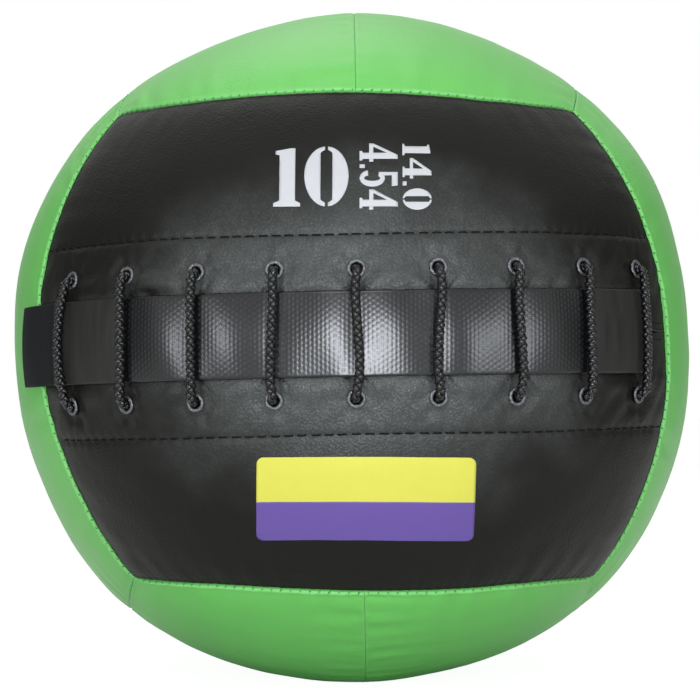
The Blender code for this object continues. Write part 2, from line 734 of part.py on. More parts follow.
def filling(home):
    for label, side in (("front", -1), ("back", 1)):
        inner = layer(FOAM_OFFSET + FOAM_THICKNESS)
        half_ball(f"foam_{label}", side, foam_outer, inner, LAYER_ROWS, FOAM_GREY, home)
        hollow = ball_rule(BAG_HOLLOW_RADIUS)
        half_ball(f"stuffing_{label}", side, layer(STUFFING_OFFSET), hollow, LAYER_ROWS, FIBRE_WHITE, home)
        bag_inner = ball_rule(BAG_RADIUS - BAG_THICKNESS)
        half_ball(f"weight_bag_{label}", side, ball_rule(BAG_RADIUS), bag_inner, BAG_ROWS, BAG_CANVAS, home)
    radius = BAG_RADIUS - BAG_THICKNESS - CLEARANCE
    mesh = bpy.data.meshes.new("weight_fill")
    shape = bmesh.new()
    bmesh.ops.create_uvsphere(shape, u_segments=2 * BAG_ROWS, v_segments=BAG_ROWS, radius=radius)
    shape.to_mesh(mesh)
    shape.free()
    add_object("weight_fill", mesh, SAND_TAN, home).location = Vector(CENTRE)


def build():
    clear_scene()
    home = collection("wall_ball")
    tools = collection("cutters")
    upper_holes = hole_cutter("upper_hole_pegs", 1, tools)
    lower_holes = hole_cutter("lower_hole_pegs", -1, tools)
    front_panel("front_upper_panel", 1, upper_holes, home)
    front_panel("front_lower_panel", -1, lower_holes, home)
    back_panel(home)
    side_panel("left_side_panel", -1, home)
    side_panel("right_side_panel", 1, home)
    for level, label in ((1, "top"), (-1, "bottom")):
        cap_panel(f"{label}_left_panel", -1, level, home)
        cap_panel(f"{label}_right_panel", 1, level, home)
    facing("upper_facing", 1, upper_holes, home)
    facing("lower_facing", -1, lower_holes, home)
    cover_strip(home)
    eyelets(home)
    lacing(home)
    topstitch("upper_topstitch", 1, home)
    topstitch("lower_topstitch", -1, home)
    seam_loop("front_seam_thread", False, home)
    seam_loop("back_seam_thread", True, home)
    for level, label in ((1, "top"), (-1, "bottom")):
        seam_line(f"{label}_centre_thread", centre_seam(level), home)
        for side, hand in ((-1, "left"), (1, "right")):
            seam_line(f"{label}_{hand}_thread", corner_seam(side, level), home)
    slit_bar("slit_bar_left", -1, home)
    slit_bar("slit_bar_right", 1, home)
    filling(home)


build()
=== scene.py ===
"""Looks of a soft wall ball: sewn skin, laced slit, stitching, print and filling, around a fixed frame.

Laid out as an add-on. Sizes are in metres, +Z is up and the laced front faces -Y.
"""

import functools
import json
import math
from contextlib import contextmanager

import bmesh
import bpy
import numpy as np
from mathutils import Matrix, Vector
from mathutils.bvhtree import BVHTree

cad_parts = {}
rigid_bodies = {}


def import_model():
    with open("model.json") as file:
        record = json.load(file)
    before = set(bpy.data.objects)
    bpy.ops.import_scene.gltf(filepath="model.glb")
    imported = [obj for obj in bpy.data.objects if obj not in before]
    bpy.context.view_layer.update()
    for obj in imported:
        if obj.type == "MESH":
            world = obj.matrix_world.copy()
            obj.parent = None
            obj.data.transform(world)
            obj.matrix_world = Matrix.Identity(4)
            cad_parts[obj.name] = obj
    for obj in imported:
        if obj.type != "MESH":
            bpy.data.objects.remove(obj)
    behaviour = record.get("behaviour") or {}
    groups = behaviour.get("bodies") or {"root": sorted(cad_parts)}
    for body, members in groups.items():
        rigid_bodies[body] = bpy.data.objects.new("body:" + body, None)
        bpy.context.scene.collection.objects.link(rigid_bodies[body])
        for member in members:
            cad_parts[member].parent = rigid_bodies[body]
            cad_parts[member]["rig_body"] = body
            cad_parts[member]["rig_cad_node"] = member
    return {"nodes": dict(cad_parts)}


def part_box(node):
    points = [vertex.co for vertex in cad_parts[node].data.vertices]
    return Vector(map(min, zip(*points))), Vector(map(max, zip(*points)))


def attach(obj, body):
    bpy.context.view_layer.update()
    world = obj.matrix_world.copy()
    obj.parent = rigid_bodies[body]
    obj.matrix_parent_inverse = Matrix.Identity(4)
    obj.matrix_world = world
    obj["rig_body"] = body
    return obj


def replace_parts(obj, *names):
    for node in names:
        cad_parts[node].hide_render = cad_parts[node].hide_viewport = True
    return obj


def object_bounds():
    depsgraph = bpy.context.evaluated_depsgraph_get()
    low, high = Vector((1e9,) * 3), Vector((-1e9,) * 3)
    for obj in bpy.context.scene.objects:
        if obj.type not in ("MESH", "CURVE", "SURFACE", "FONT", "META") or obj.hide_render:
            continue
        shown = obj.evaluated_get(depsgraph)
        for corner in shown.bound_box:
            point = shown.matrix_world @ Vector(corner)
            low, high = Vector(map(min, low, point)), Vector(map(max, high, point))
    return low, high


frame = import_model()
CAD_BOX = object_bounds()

bl_info = {
    "name": "Wall Ball",
    "version": (1, 0, 0),
    "blender": (4, 5, 0),
    "location": "View3D > Sidebar > Wall Ball",
    "description": "Dresses a wall ball: sewn skin, cover strip, lacing, stitching, print and filling",
    "category": "Object",
}

BODY = "root"
CENTRE = np.array(sum(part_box("weight_fill"), Vector()) / 2)

# Places of the seams on the ball, as angles in degrees
EDGE_LAT = 40.8
CORNER_LAT = 39.1
EDGE_SAG = 4.3
SIDE_LON = 58.6
CORNER_LON = 53.3
SIDE_BOW = 5.0
SKEW = 3.5
CORNER_SEAM_MID = 50.0
SIDE_TURN = 1.7
EDGE_TURN = 1.1
BOTTOM_SEAM_LON = 1.7
BELT_TILT_SHARE = 0.019
ROUNDNESS_SHARE = 2.14

# Construction below the surface
SKIN_THICKNESS = 0.0012
FLANGE = 0.0040
SEAM_SLACK = 0.00012
SLIT_HALF = 0.0008
FACING_TOP = 0.0016
FACING_THICKNESS = 0.0010
EYELET_REACH = 0.0030
EYELET_SEAT = 0.0004
EYELET_RIM = 0.0006
BEND_RADIUS = 0.0040
HIDDEN_DEPTH = 0.0070
STRIP_SEAT = 0.0004
STRAND_HEIGHT = 0.0043
TAIL_LENGTH = 0.0130
EYELETS_PER_ROW = 9
HOLE_ROOM = 0.0008
FACING_HEM = 0.0030
CORD_STEP = 0.0007

# Grain of the skin, and spacing of the bumps in the strip
PEBBLE = 0.00115
BUMP_COLUMN = 0.0019
BUMP_LENGTH = 0.0025

# The sides of the ball, the edges of the slit and the caps, each with its sign
SIDES = (("left", -1), ("right", 1))
SLIT_EDGES = (("upper", 1), ("lower", -1))
CAPS = (("top", 1), ("bottom", -1))

# The strands of the lacing, from the left: how far each one's middle bows to the right, and how far its upper
# half swings to the left and its lower half to the right
STRAND_BOWS = (-0.0040, 0.0012, 0.0004, 0.0000, 0.0007, -0.0010, -0.0008, -0.0012, -0.0004)
STRAND_LEANS = (-0.0002, 0.0004, 0.0003, -0.0010, 0.0018, -0.0016, 0.0018, 0.0010, 0.0008)

# Seams between two green panels are drawn in less than those round the black ones
CORNER_SHARE = 0.90
CENTRE_SHARE = 0.40

# Swells of the outline seen from the front: angle from +X in degrees, half width, height
OUTLINE_SWELLS = (
    (8, 16, -0.0014), (30, 9, 0.0012), (62, 14, -0.0018), (90, 8, 0.0012), (116, 19, -0.0036),
    (166, 12, 0.0024), (206, 12, -0.0016), (270, 7, 0.0010), (285, 8, -0.0008), (318, 12, 0.0013))

# Lumps of the stuffing under the skin: height, length and seed
STUFFING_LUMPS = ((0.0004, 0.110, 5), (0.00014, 0.026, 6), (0.00004, 0.008, 7))

# Where the slack fold above the strip lies, in eyelet pitches from the middle
SLACK_FOLD_AT = -2.62


def linear(code):
    """Linear colour of an sRGB hex code."""
    shares = [int(code[i:i + 2], 16) / 255 for i in (1, 3, 5)]
    return tuple(c / 12.92 if c <= 0.04045 else ((c + 0.055) / 1.055) ** 2.4 for c in shares)


def length(name, text, value):
    return bpy.props.FloatProperty(name=name, description=text, default=value, unit="LENGTH", precision=5)


def colour(name, text, code):
    return bpy.props.FloatVectorProperty(
        name=name, description=text, default=linear(code), subtype="COLOR", size=3, min=0.0, max=1.0)


class WallBallSizes(bpy.types.PropertyGroup):
    """Sizes of the ball and of what is sewn and laced on it"""

    width: length("Width", "Ball's width, left to right", CAD_BOX[1].x - CAD_BOX[0].x)
    depth: length("Depth", "Ball's depth without its lacing", 2 * (CAD_BOX[1].y - CENTRE[1]))
    height: length("Height", "Ball's height before it settles", 0.3540)
    seam_swell: length("Seam swell", "How far the skin is drawn in at a seam", 0.0020)
    seam_reach: length("Seam reach", "How far from a seam the drawing in reaches", 0.0080)
    rim_roll: length("Rim roll", "Radius of a panel's rolled rim", 0.0016)
    seam_ridge: length("Seam ridge", "Height of the ridge that the seam allowance makes", 0.00032)
    pucker: length("Pucker", "Height of the puckers between stitches", 0.00022)
    fold: length("Fold", "Height of the longer folds beside a seam", 0.00045)
    stitch_pitch: length("Seam stitch pitch", "Length of one seam stitch", 0.0045)
    topstitch_pitch: length("Topstitch pitch", "Length of one stitch beside the lacing", 0.0063)
    topstitch_row: length("Topstitch row", "From the slit to the long rows of stitching", 0.04565)
    eyelet_pitch: length("Eyelet pitch", "From eyelet to eyelet along the slit", 0.0374)
    eyelet_row: length("Eyelet row", "From the slit to the eyelets' centres", 0.02925)
    eyelet_flange: length("Eyelet flange", "Radius of an eyelet's flange", 0.0044)
    eyelet_bore: length("Eyelet bore", "Radius of an eyelet's bore", 0.0025)
    belt_rise: length("Belt rise", "Height of the slit above the ball's middle", 0.0019)
    strip_width: length("Strip width", "Width of the cover strip", 0.0385)
    strip_left: length("Strip left reach", "From the middle to the strip's left end", 0.1990)
    strip_right: length("Strip right reach", "From the middle to the strip's right end", 0.1576)
    tab_length: length("Tab length", "Length of the strip's bare end", 0.0360)
    strip_thickness: length("Strip thickness", "Thickness of the cover strip", 0.0015)
    cord_diameter: length("Cord diameter", "Outer diameter of the braided cord", 0.0050)
    braid_lead: length("Braid lead", "Length in which a plait goes once round", 0.0074)
    number_height: length("Number height", "Height of the printed number", 0.0308)
    label_width: length("Label width", "Width of the printed label", 0.0995)
    label_height: length("Label height", "Height of the printed label", 0.0410)


class WallBallColours(bpy.types.PropertyGroup):
    """Colours of the ball's materials"""

    black: colour("Black skin", "Coated fabric of the front and back panels", "#10100B")
    green: colour("Green skin", "Coated fabric of the other panels", "#74D263")
    vinyl: colour("Cover strip", "Embossed vinyl of the strip", "#121314")
    cord: colour("Cord", "Braided nylon cord", "#0C0C0C")
    eyelet: colour("Eyelets", "Enamel on the eyelets", "#646568")
    seam_thread: colour("Seam thread", "Thread of the seams", "#2A9A5C")
    black_thread: colour("Black thread", "Thread of the topstitching", "#0C0C0C")
    white_ink: colour("White print", "Print of the number", "#D4D4D4")
    yellow_ink: colour("Yellow print", "Ground of the label", "#EAE65E")
    violet_ink: colour("Violet print", "Band of the label", "#7059A4")
    canvas: colour("Facing canvas", "Canvas behind the slit's edges", "#2A2A2B")
    foam: colour("Foam", "Foam under the skin", "#C9C8BE")
    fibre: colour("Fibre", "Stuffing", "#DAD8D2")
    bag: colour("Bag canvas", "Canvas of the weight bag", "#B5A788")
    sand: colour("Sand", "Sand in the weight bag", "#C2A981")


def sizes():
    return bpy.context.scene.wall_ball_sizes


def colours():
    return bpy.context.scene.wall_ball_colours


# The ball's surface

def unit(vectors):
    return vectors / np.linalg.norm(vectors, axis=-1, keepdims=True)


def square_to(axes, vectors):
    """Unit vectors in the planes square to unit axes, each as near to its own vector as it can be."""
    return unit(vectors - axes * (vectors * axes).sum(axis=-1, keepdims=True))


def run_along(points):
    """Length from the first of a row of points to each of them."""
    return np.concatenate([[0.0], np.cumsum(np.linalg.norm(np.diff(points, axis=0), axis=-1))])


def bell(distance, width):
    """1 at no distance, and falling off to both sides over the width; a height times this is a ridge."""
    return np.exp(-(distance / width) ** 2)


def fading(distance, width):
    """1 where the distance is well below zero and 0 where it is well above, with a soft step between."""
    return 1 / (1 + np.exp(np.clip(distance / width, -60, 60)))


def half_axes():
    size = sizes()
    return np.array([size.width, size.depth, size.height]) / 2


def reference_radius():
    return sizes().depth / 2


def toward(lon, lat):
    """Unit vectors at a longitude, from the front towards +X, and a latitude, both in degrees."""
    lon, lat = np.broadcast_arrays(np.radians(lon), np.radians(lat))
    return np.stack([np.sin(lon) * np.cos(lat), -np.cos(lon) * np.cos(lat), np.sin(lat)], axis=-1)


def smooth_radius(way):
    return (np.abs(way / half_axes()) ** ROUNDNESS_SHARE).sum(axis=-1) ** (-1 / ROUNDNESS_SHARE)


def outward(way):
    """Unit normals of the smooth outline along unit vectors."""
    axes = half_axes()
    return unit(np.sign(way) * np.abs(way / axes) ** (ROUNDNESS_SHARE - 1) / axes)


def on_ball(way, height=0.0):
    """Points above the smooth outline along unit vectors, settled softly on the floor."""
    points = CENTRE + way * (smooth_radius(way) + height)[..., None]
    settle = 0.0005
    z = points[..., 2]
    settled = settle * np.log1p(np.exp(np.minimum(z / settle, 4)))
    points[..., 2] = np.where(z > 4 * settle, z, settled)
    return points


# Seams, as functions of a share from 0 to 1 that return unit vectors

def mirrored(way):
    return way * np.array([1.0, -1.0, 1.0])


def side_lon(lat, side):
    """Longitude of the front panel's left (-1) or right (1) edge at a latitude."""
    share = lat / CORNER_LAT
    fall = SIDE_LON - CORNER_LON + SIDE_BOW - SIDE_TURN
    turn_in = SIDE_TURN * share**12
    return side * (SIDE_LON - fall * share**2 + SIDE_BOW * share**4 - turn_in) - SKEW * share


def edge_lat(lon, level):
    """Latitude of the front panel's top (1) or bottom (-1) edge at a longitude."""
    share = (lon + level * SKEW) / CORNER_LON
    fall = EDGE_LAT - CORNER_LAT + EDGE_SAG - EDGE_TURN
    return level * (EDGE_LAT - fall * share**2 + EDGE_SAG * share**4 - EDGE_TURN * share**14)


def corner_lon(side, level):
    return side * CORNER_LON - level * SKEW


def belt_lat(lon):
    """Latitude of the slit at a longitude."""
    return math.degrees(sizes().belt_rise / reference_radius()) + BELT_TILT_SHARE * lon


def belt_end(side):
    """Longitude at which the slit meets the front panel's left or right edge."""
    return side_lon(belt_lat(side * SIDE_LON), side)


def front_edge(level, lon_from, lon_to):
    def seam(share):
        lon = lon_from + (lon_to - lon_from) * share
        return toward(lon, edge_lat(lon, level))
    return seam


def side_edge(side, lat_from, lat_to):
    def seam(share):
        lat = lat_from + (lat_to - lat_from) * share
        return toward(side_lon(lat, side), lat)
    return seam


def slit_edge(share):
    lon = belt_end(-1) + (belt_end(1) - belt_end(-1)) * share
    return toward(lon, belt_lat(lon))


def over_seam(lon, lat, middle):
    """A seam from a point on the front edge over the ball to its mirror image behind."""
    start = toward(lon, lat)
    reach = math.asin(-start[1])
    turn = math.atan2(start[2], start[0])

    def seam(share):
        lean = reach * (2 * share - 1)
        angle = math.radians(middle) + (turn - math.radians(middle)) * (lean / reach) ** 2
        flat = np.cos(lean)
        return np.stack([np.cos(angle) * flat, np.sin(lean), np.sin(angle) * flat], axis=-1)
    return seam


def corner_seam(side, level):
    middle = CORNER_SEAM_MID if side > 0 else 180 - CORNER_SEAM_MID
    return over_seam(corner_lon(side, level), level * CORNER_LAT, level * middle)


def centre_seam(level):
    lon = 0.0 if level > 0 else BOTTOM_SEAM_LON
    start = toward(lon, edge_lat(lon, level))
    return over_seam(lon, edge_lat(lon, level), math.degrees(math.atan2(start[2], start[0])))


def patch(low, high, left, right, across, up):
    """Unit vectors over a four-sided patch between four seams, as rows that run from low to high."""
    u, v = np.meshgrid(across, up)
    u, v = u[..., None], v[..., None]
    ends = np.array([0.0, 1.0])
    low_ends, high_ends = low(ends), high(ends)
    ruled = (1 - v) * low(across)[None] + v * high(across)[None]
    ruled = ruled + (1 - u) * left(up)[:, None] + u * right(up)[:, None]
    bilinear = (1 - v) * ((1 - u) * low_ends[0] + u * low_ends[1])
    bilinear = bilinear + v * ((1 - u) * high_ends[0] + u * high_ends[1])
    return unit(ruled - bilinear)


# Unevenness of stuffed and sewn goods

def waves(points, wavelength, seed, count=18):
    """Smooth uneven heights from -1 to 1 over points, from plane waves of about one length."""
    draw = np.random.default_rng(seed)
    directions = unit(draw.normal(size=(count, 3)))
    spread = draw.uniform(0.7, 1.4, count)
    phases = draw.uniform(0, 2 * np.pi, count)
    flat = points.reshape(-1, 3) @ (directions * (2 * np.pi / wavelength * spread)[:, None]).T
    return (np.sin(flat + phases).sum(axis=1) / count**0.5 / 1.6).reshape(points.shape[:-1])


def run_waves(along, wavelength, seed):
    """Uneven heights from -1 to 1 along a line."""
    draw = np.random.default_rng(seed)
    tilts = draw.uniform(0.6, 1.5, 9)
    phases = draw.uniform(0, 2 * np.pi, 9)
    return sum(np.sin(2 * np.pi * along / wavelength * t + p) for t, p in zip(tilts, phases)) / 4.5


def gap_height(gap, along, seed):
    """Puckers and folds beside one seam, from the distance to it and the length along it."""
    size = sizes()
    pucker_reach, fold_reach, fold_length = 0.0022, 0.0075, 0.017
    near, far = gap / pucker_reach, gap / fold_reach
    pucker = size.pucker * near * np.exp(1 - near) * np.cos(2 * np.pi * along / size.stitch_pitch)
    return pucker + size.fold * far * np.exp(1 - far) * run_waves(along, fold_length, seed)


def nearest_of(gaps, floor):
    """The distance to the nearest of several edges, rounded off where two are as near."""
    sharpness = 5.0
    closeness = sum(np.maximum(gap, floor) ** -sharpness for gap in gaps)
    return np.maximum(closeness ** (-1 / sharpness) - floor, 0.0)


def seam_height(way, seams, seed, lapped):
    """Height of a panel's skin, drawn in towards its seams, and how near each point is to the rim's crest.

    The seams are the patch's edges, each with the share by which it is drawn in. A lapped panel's rim lies
    over its neighbour's, so it is drawn in less and rolls over more tightly. It also folds more, as it is the
    softer one.
    """
    size = sizes()
    rim_share, softness = (0.45, 1.0) if lapped else (1.0, 0.45)
    crest_at, ridge_at, ridge_width = 0.0007, 0.0013, 0.0006
    crest = np.zeros(way.shape[:2])
    points = way * reference_radius()
    across = np.linalg.norm(np.diff(points, axis=1), axis=-1)
    up = np.linalg.norm(np.diff(points, axis=0), axis=-1)
    from_left = np.pad(np.cumsum(across, axis=1), ((0, 0), (1, 0)))
    from_low = np.pad(np.cumsum(up, axis=0), ((1, 0), (0, 0)))
    gaps = {
        "low": (from_low, np.broadcast_to(from_left[:1], from_left.shape)),
        "high": (from_low[-1:] - from_low, np.broadcast_to(from_left[-1:], from_left.shape)),
        "left": (from_left, np.broadcast_to(from_low[:, :1], from_low.shape)),
        "right": (from_left[:, -1:] - from_left, np.broadcast_to(from_low[:, -1:], from_low.shape)),
    }
    height = np.zeros(from_low.shape)
    for number, edge in enumerate(seams):
        height += softness * gap_height(*gaps[edge], seed + number)
    for share in sorted(set(seams.values()), reverse=True):
        nearest = nearest_of([gaps[edge][0] for edge in seams if seams[edge] == share], size.rim_roll / 200)
        roll = size.rim_roll * share * rim_share
        rest = roll - np.minimum(nearest, roll)
        height -= roll - np.sqrt(np.maximum(roll**2 - rest**2, 0.0))
        height -= size.seam_swell * share * rim_share * np.exp(-nearest / size.seam_reach)
        height += size.seam_ridge * share * bell(nearest - ridge_at, ridge_width)
        crest = np.maximum(crest, share * bell(nearest - crest_at, ridge_width))
    return height, crest


def lopsided(way):
    """How the stuffing makes the outline, as the front shows it, flat in some places and full in others."""
    turn = np.degrees(np.arctan2(way[..., 2], way[..., 0])) % 360
    height = sum(rise * bell((turn - angle + 180) % 360 - 180, width)
                 for angle, width, rise in OUTLINE_SWELLS)
    return height * bell(way[..., 1], 0.6)


def stuffed_height(way):
    """Unevenness of the whole stuffed ball."""
    points = way * reference_radius()
    return lopsided(way) + sum(rise * waves(points, run, seed) for rise, run, seed in STUFFING_LUMPS)


def belt_place(way):
    """Length along the slit from its middle, and height above the slit, for unit vectors."""
    lon = np.degrees(np.arctan2(way[..., 0], -way[..., 1]))
    lat = np.degrees(np.arcsin(np.clip(way[..., 2], -1.0, 1.0)))
    radius = reference_radius()
    return np.radians(lon) * radius, np.radians(lat - belt_lat(lon)) * radius


def belt_way(along, up):
    lon = np.degrees(np.asarray(along) / reference_radius())
    return toward(lon, belt_lat(lon) + np.degrees(np.asarray(up) / reference_radius()))


def nearest_strand(along):
    """Distance along the slit to the nearest strand of the lacing, with its sign."""
    pitch = sizes().eyelet_pitch
    reach = (EYELETS_PER_ROW - 1) / 2
    return along - pitch * np.clip(np.round(along / pitch), -reach, reach)


def topstitched_height(along, away):
    """The skin at a row of topstitching: a rippled groove in a valley, and doubled cloth inside the row."""
    size = sizes()
    past_row = away - size.topstitch_row
    groove = -0.00075 * bell(past_row, 0.0014)
    ripple = 0.00020 * np.cos(2 * np.pi * along / size.topstitch_pitch) * bell(past_row, 0.0032)
    valley = -0.0006 * bell(past_row, 0.0075)
    doubled = 0.0004 * fading(past_row + 0.001, 0.0006)
    sewn = fading(np.abs(along) - 0.168, 0.0020)
    return sewn * (groove + ripple + valley + doubled)


def laced_height(along, up):
    """The skin beside the strip, which puffs out between the strands and is pulled in and pinched at each."""
    size = sizes()
    beside = nearest_strand(along)
    above = up - size.strip_width / 2
    past_edge = np.abs(up) - size.strip_width / 2
    between = 1 - bell(beside, size.eyelet_pitch * 0.22)
    uneven = 1 + 0.35 * run_waves(along + 0.4 * up, 0.045, 11)
    puff = 0.0017 * between * uneven * bell(past_edge - 0.0052, 0.0050)
    ragged = np.clip(0.55 + 0.6 * run_waves(along, 0.013, 17), 0.0, 1.0)
    lip = 0.0015 * ragged * (1 - bell(beside, 0.0040)) * bell(above - 0.0014, 0.0024)
    pull = -0.0008 * bell(beside, 0.0036) * bell(past_edge - 0.002, 0.0045)
    spread = np.abs(beside) - 0.0040 - 0.35 * (past_edge - 0.0030)
    pinch = 0.0020 * bell(spread, 0.0010) * bell(past_edge - 0.0034, 0.0030)
    return puff + lip + pull + pinch


def eyelet_height(along, away):
    """The skin round an eyelet, in a dimple with six creases, and how near each point is to its collar."""
    beside = nearest_strand(along)
    past_row = away - sizes().eyelet_row
    reach, turn = np.hypot(beside, past_row), np.arctan2(beside, past_row)
    creases = 0.00050 * np.cos(6 * turn) * bell(reach - 0.0085, 0.0035) * (0.6 + 0.4 * np.cos(turn))
    dimple = -0.0011 * bell(reach - 0.0062, 0.0030)
    return creases + dimple, bell(reach, 0.0046)


def belt_height(way):
    """How the lacing, the strip and the topstitching shape the front panel."""
    along, up = belt_place(way)
    away = np.abs(up)
    past_edge = away - sizes().strip_width / 2
    span = np.clip((np.abs(along) - 0.150) / 0.020, 0.0, 1.0)
    laced = 1 - span**2 * (3 - 2 * span)
    press = -0.0008 * fading(past_edge - 0.0004, 0.0005)
    sag = 0.00045 * bell(past_edge - 0.012, 0.014) * run_waves(along - 0.8 * up, 0.019, 13)
    dent, collar = eyelet_height(along, away)
    height = topstitched_height(along, away) + press + sag + laced * (laced_height(along, up) + dent)
    collar_height = 0.0001
    return height + laced * collar * (collar_height - height)


def from_slack_fold(along):
    """Distance along the slit to the middle of the slack fold, in eyelet pitches."""
    return along / sizes().eyelet_pitch - SLACK_FOLD_AT


def creased(way):
    """Painted shade on the front panel, from 0 to 1: in the creases where the lacing gathers it, under the
    slack fold above the strip and along the topstitch rows.
    """
    size = sizes()
    along, up = belt_place(way)
    beside = np.abs(nearest_strand(along))
    above = up - size.strip_width / 2
    past_edge = np.abs(up) - size.strip_width / 2
    laced = fading(np.abs(along) - 0.160, 0.002)
    nook = 0.9 * bell(beside - 0.0036, 0.0020) * bell(past_edge - 0.0008, 0.0016)
    whisker = 0.8 * bell(beside - 0.0034 - 0.9 * past_edge, 0.0007) * bell(past_edge - 0.0022, 0.0028)
    hollow = bell(from_slack_fold(along), 0.30) * bell(above - 0.0010, 0.0028)
    row = 0.45 * bell(np.abs(up) - size.topstitch_row, 0.0008)
    return np.clip(laced * (nook + whisker) + hollow + row, 0.0, 1.0)


def lifted_fold(way):
    """The slack fold above the strip, between the second and third strands from the left."""
    along, up = belt_place(way)
    above = up - sizes().strip_width / 2
    aside = from_slack_fold(along) / 0.34
    hollow = -0.0036 * bell(1.15 * aside, 1.0) * bell(above - 0.0016, 0.0019)
    return hollow + 0.0014 * bell(aside, 1.0) * bell(above - 0.0070, 0.0038)


# Making pieces

def finish_piece(piece, finish, slot, *nodes):
    """Gives a piece its material, lets it ride on the ball, and hides the frame's nodes that it stands for;
    its slot is not used.
    """
    piece.data.materials.clear()
    piece.data.materials.append(finish)
    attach(piece, BODY)
    if nodes:
        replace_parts(piece, *nodes)
    return piece


def select_only(piece):
    bpy.ops.object.select_all(action="DESELECT")
    piece.select_set(True)
    bpy.context.view_layer.objects.active = piece


@contextmanager
def edit_mode(piece, kind="VERT", selected=True):
    """Edit mode on one piece, with all of it selected at first, or none of it."""
    select_only(piece)
    bpy.ops.object.mode_set(mode="EDIT")
    bpy.ops.mesh.select_mode(type=kind)
    bpy.ops.mesh.select_all(action="SELECT" if selected else "DESELECT")
    yield
    bpy.ops.object.mode_set(mode="OBJECT")


def merge_doubles(piece, gap):
    with edit_mode(piece):
        bpy.ops.mesh.remove_doubles(threshold=gap)


def turn_faces_out():
    """Turns all faces of the closed piece that is in edit mode outwards."""
    bpy.ops.mesh.select_all(action="SELECT")
    bpy.ops.mesh.normals_make_consistent(inside=False)


def vertex_places(piece):
    places = np.zeros(len(piece.data.vertices) * 3, np.float32)
    piece.data.vertices.foreach_get("co", places)
    return places.reshape(-1, 3).astype(float)


def place_vertices(piece, places):
    piece.data.vertices.foreach_set("co", places.astype(np.float32).ravel())
    piece.data.update()


def mark_vertices(piece, name, values):
    """Gives each vertex a value from 0 to 1, which a material reads by its name."""
    attribute = piece.data.attributes.new(name, "FLOAT", "POINT")
    attribute.data.foreach_set("value", values.astype(np.float32).ravel())


def named(piece, name):
    piece.name = name
    piece.data.name = name
    return piece


def add_to_scene(name, data):
    piece = bpy.data.objects.new(name, data)
    bpy.context.scene.collection.objects.link(piece)
    return piece


def own_copy(model, name):
    """A copy of a piece with its own mesh, in plain sight."""
    piece = model.copy()
    piece.data = model.data.copy()
    piece.hide_render = False
    piece.hide_viewport = False
    bpy.context.scene.collection.objects.link(piece)
    return named(piece, name)


def wrapped_grid(name, points, joined=False):
    """A grid laid on to rows of points, with its faces to the left of the rows; joined closes its columns."""
    rows, columns = points.shape[:2]
    bpy.ops.object.select_all(action="DESELECT")
    bpy.ops.mesh.primitive_grid_add(x_subdivisions=columns - 1, y_subdivisions=rows - 1, size=1.0)
    piece = named(bpy.context.object, name)
    place_vertices(piece, points)
    if joined:
        merge_doubles(piece, 0.000002)
    bpy.ops.object.shade_smooth()
    return piece


def face_outwards(piece):
    """Turns a sheet's faces away from the ball's middle, as a sample of them shows."""
    sample = list(piece.data.polygons)[::7]
    if sum((face.center - Vector(CENTRE)).dot(face.normal) for face in sample) < 0:
        with edit_mode(piece):
            bpy.ops.mesh.flip_normals()


def fold_rim(piece, keep_open):
    """Folds a sheet's rim in towards the middle of the ball, but for the vertices in keep_open."""
    with edit_mode(piece, "EDGE", selected=False):
        shape = bmesh.from_edit_mesh(piece.data)
        for edge in shape.edges:
            edge.select_set(edge.is_boundary and not all(vertex.index in keep_open for vertex in edge.verts))
        bpy.ops.mesh.extrude_edges_move()
        shape = bmesh.from_edit_mesh(piece.data)
        for vertex in shape.verts:
            if vertex.select:
                vertex.co += (Vector(CENTRE) - vertex.co).normalized() * FLANGE
        bmesh.update_edit_mesh(piece.data)


def thicken(piece, thickness, offset=-1.0):
    select_only(piece)
    wall = piece.modifiers.new("wall", "SOLIDIFY")
    wall.thickness = thickness
    wall.offset = offset
    wall.use_even_offset = False
    bpy.ops.object.modifier_apply(modifier=wall.name)
    bpy.ops.object.shade_smooth()


def lines(run, cell, closed_low=True):
    """Shares along a run: close lines over the rolled rim at its ends, and even cells between."""
    rim = sizes().rim_roll * np.array([0.0, 0.03, 0.1, 0.24, 0.45, 0.72, 1.05, 1.5])
    start = rim if closed_low else np.array([0.0])
    count = max(2, round((run - rim[-1] - start[-1]) / cell))
    middle = np.linspace(start[-1], run - rim[-1], count + 1)
    return np.concatenate([start[:-1], middle, (run - rim[:-1])[::-1]]) / run


def arc(seam):
    return run_along(seam(np.linspace(0, 1, 60)))[-1] * reference_radius()


# The skin

def skin_points(way, seams, seed, front, lapped):
    """Points of a panel's skin, a little slack at its seams, and how near each is to the rim's crest."""
    height, crest = seam_height(way, seams, seed, lapped)
    height = height + stuffed_height(way)
    if front:
        height = height + belt_height(way) + lifted_fold(way)
    points = on_ball(way, height)
    slack = np.zeros_like(points)
    low = np.full(way.shape[1], SEAM_SLACK)
    if front:
        slit_reach, slit_taper = 0.172, 0.020
        low += SLIT_HALF * np.clip((slit_reach - np.abs(belt_place(way[0])[0])) / slit_taper, 0, 1)
    slack[0] += low[:, None] * unit(points[1] - points[0])
    slack[-1] += SEAM_SLACK * unit(points[-2] - points[-1])
    slack[:, 0] += SEAM_SLACK * unit(points[:, 1] - points[:, 0])
    slack[:, -1] += SEAM_SLACK * unit(points[:, -2] - points[:, -1])
    return points + slack, crest


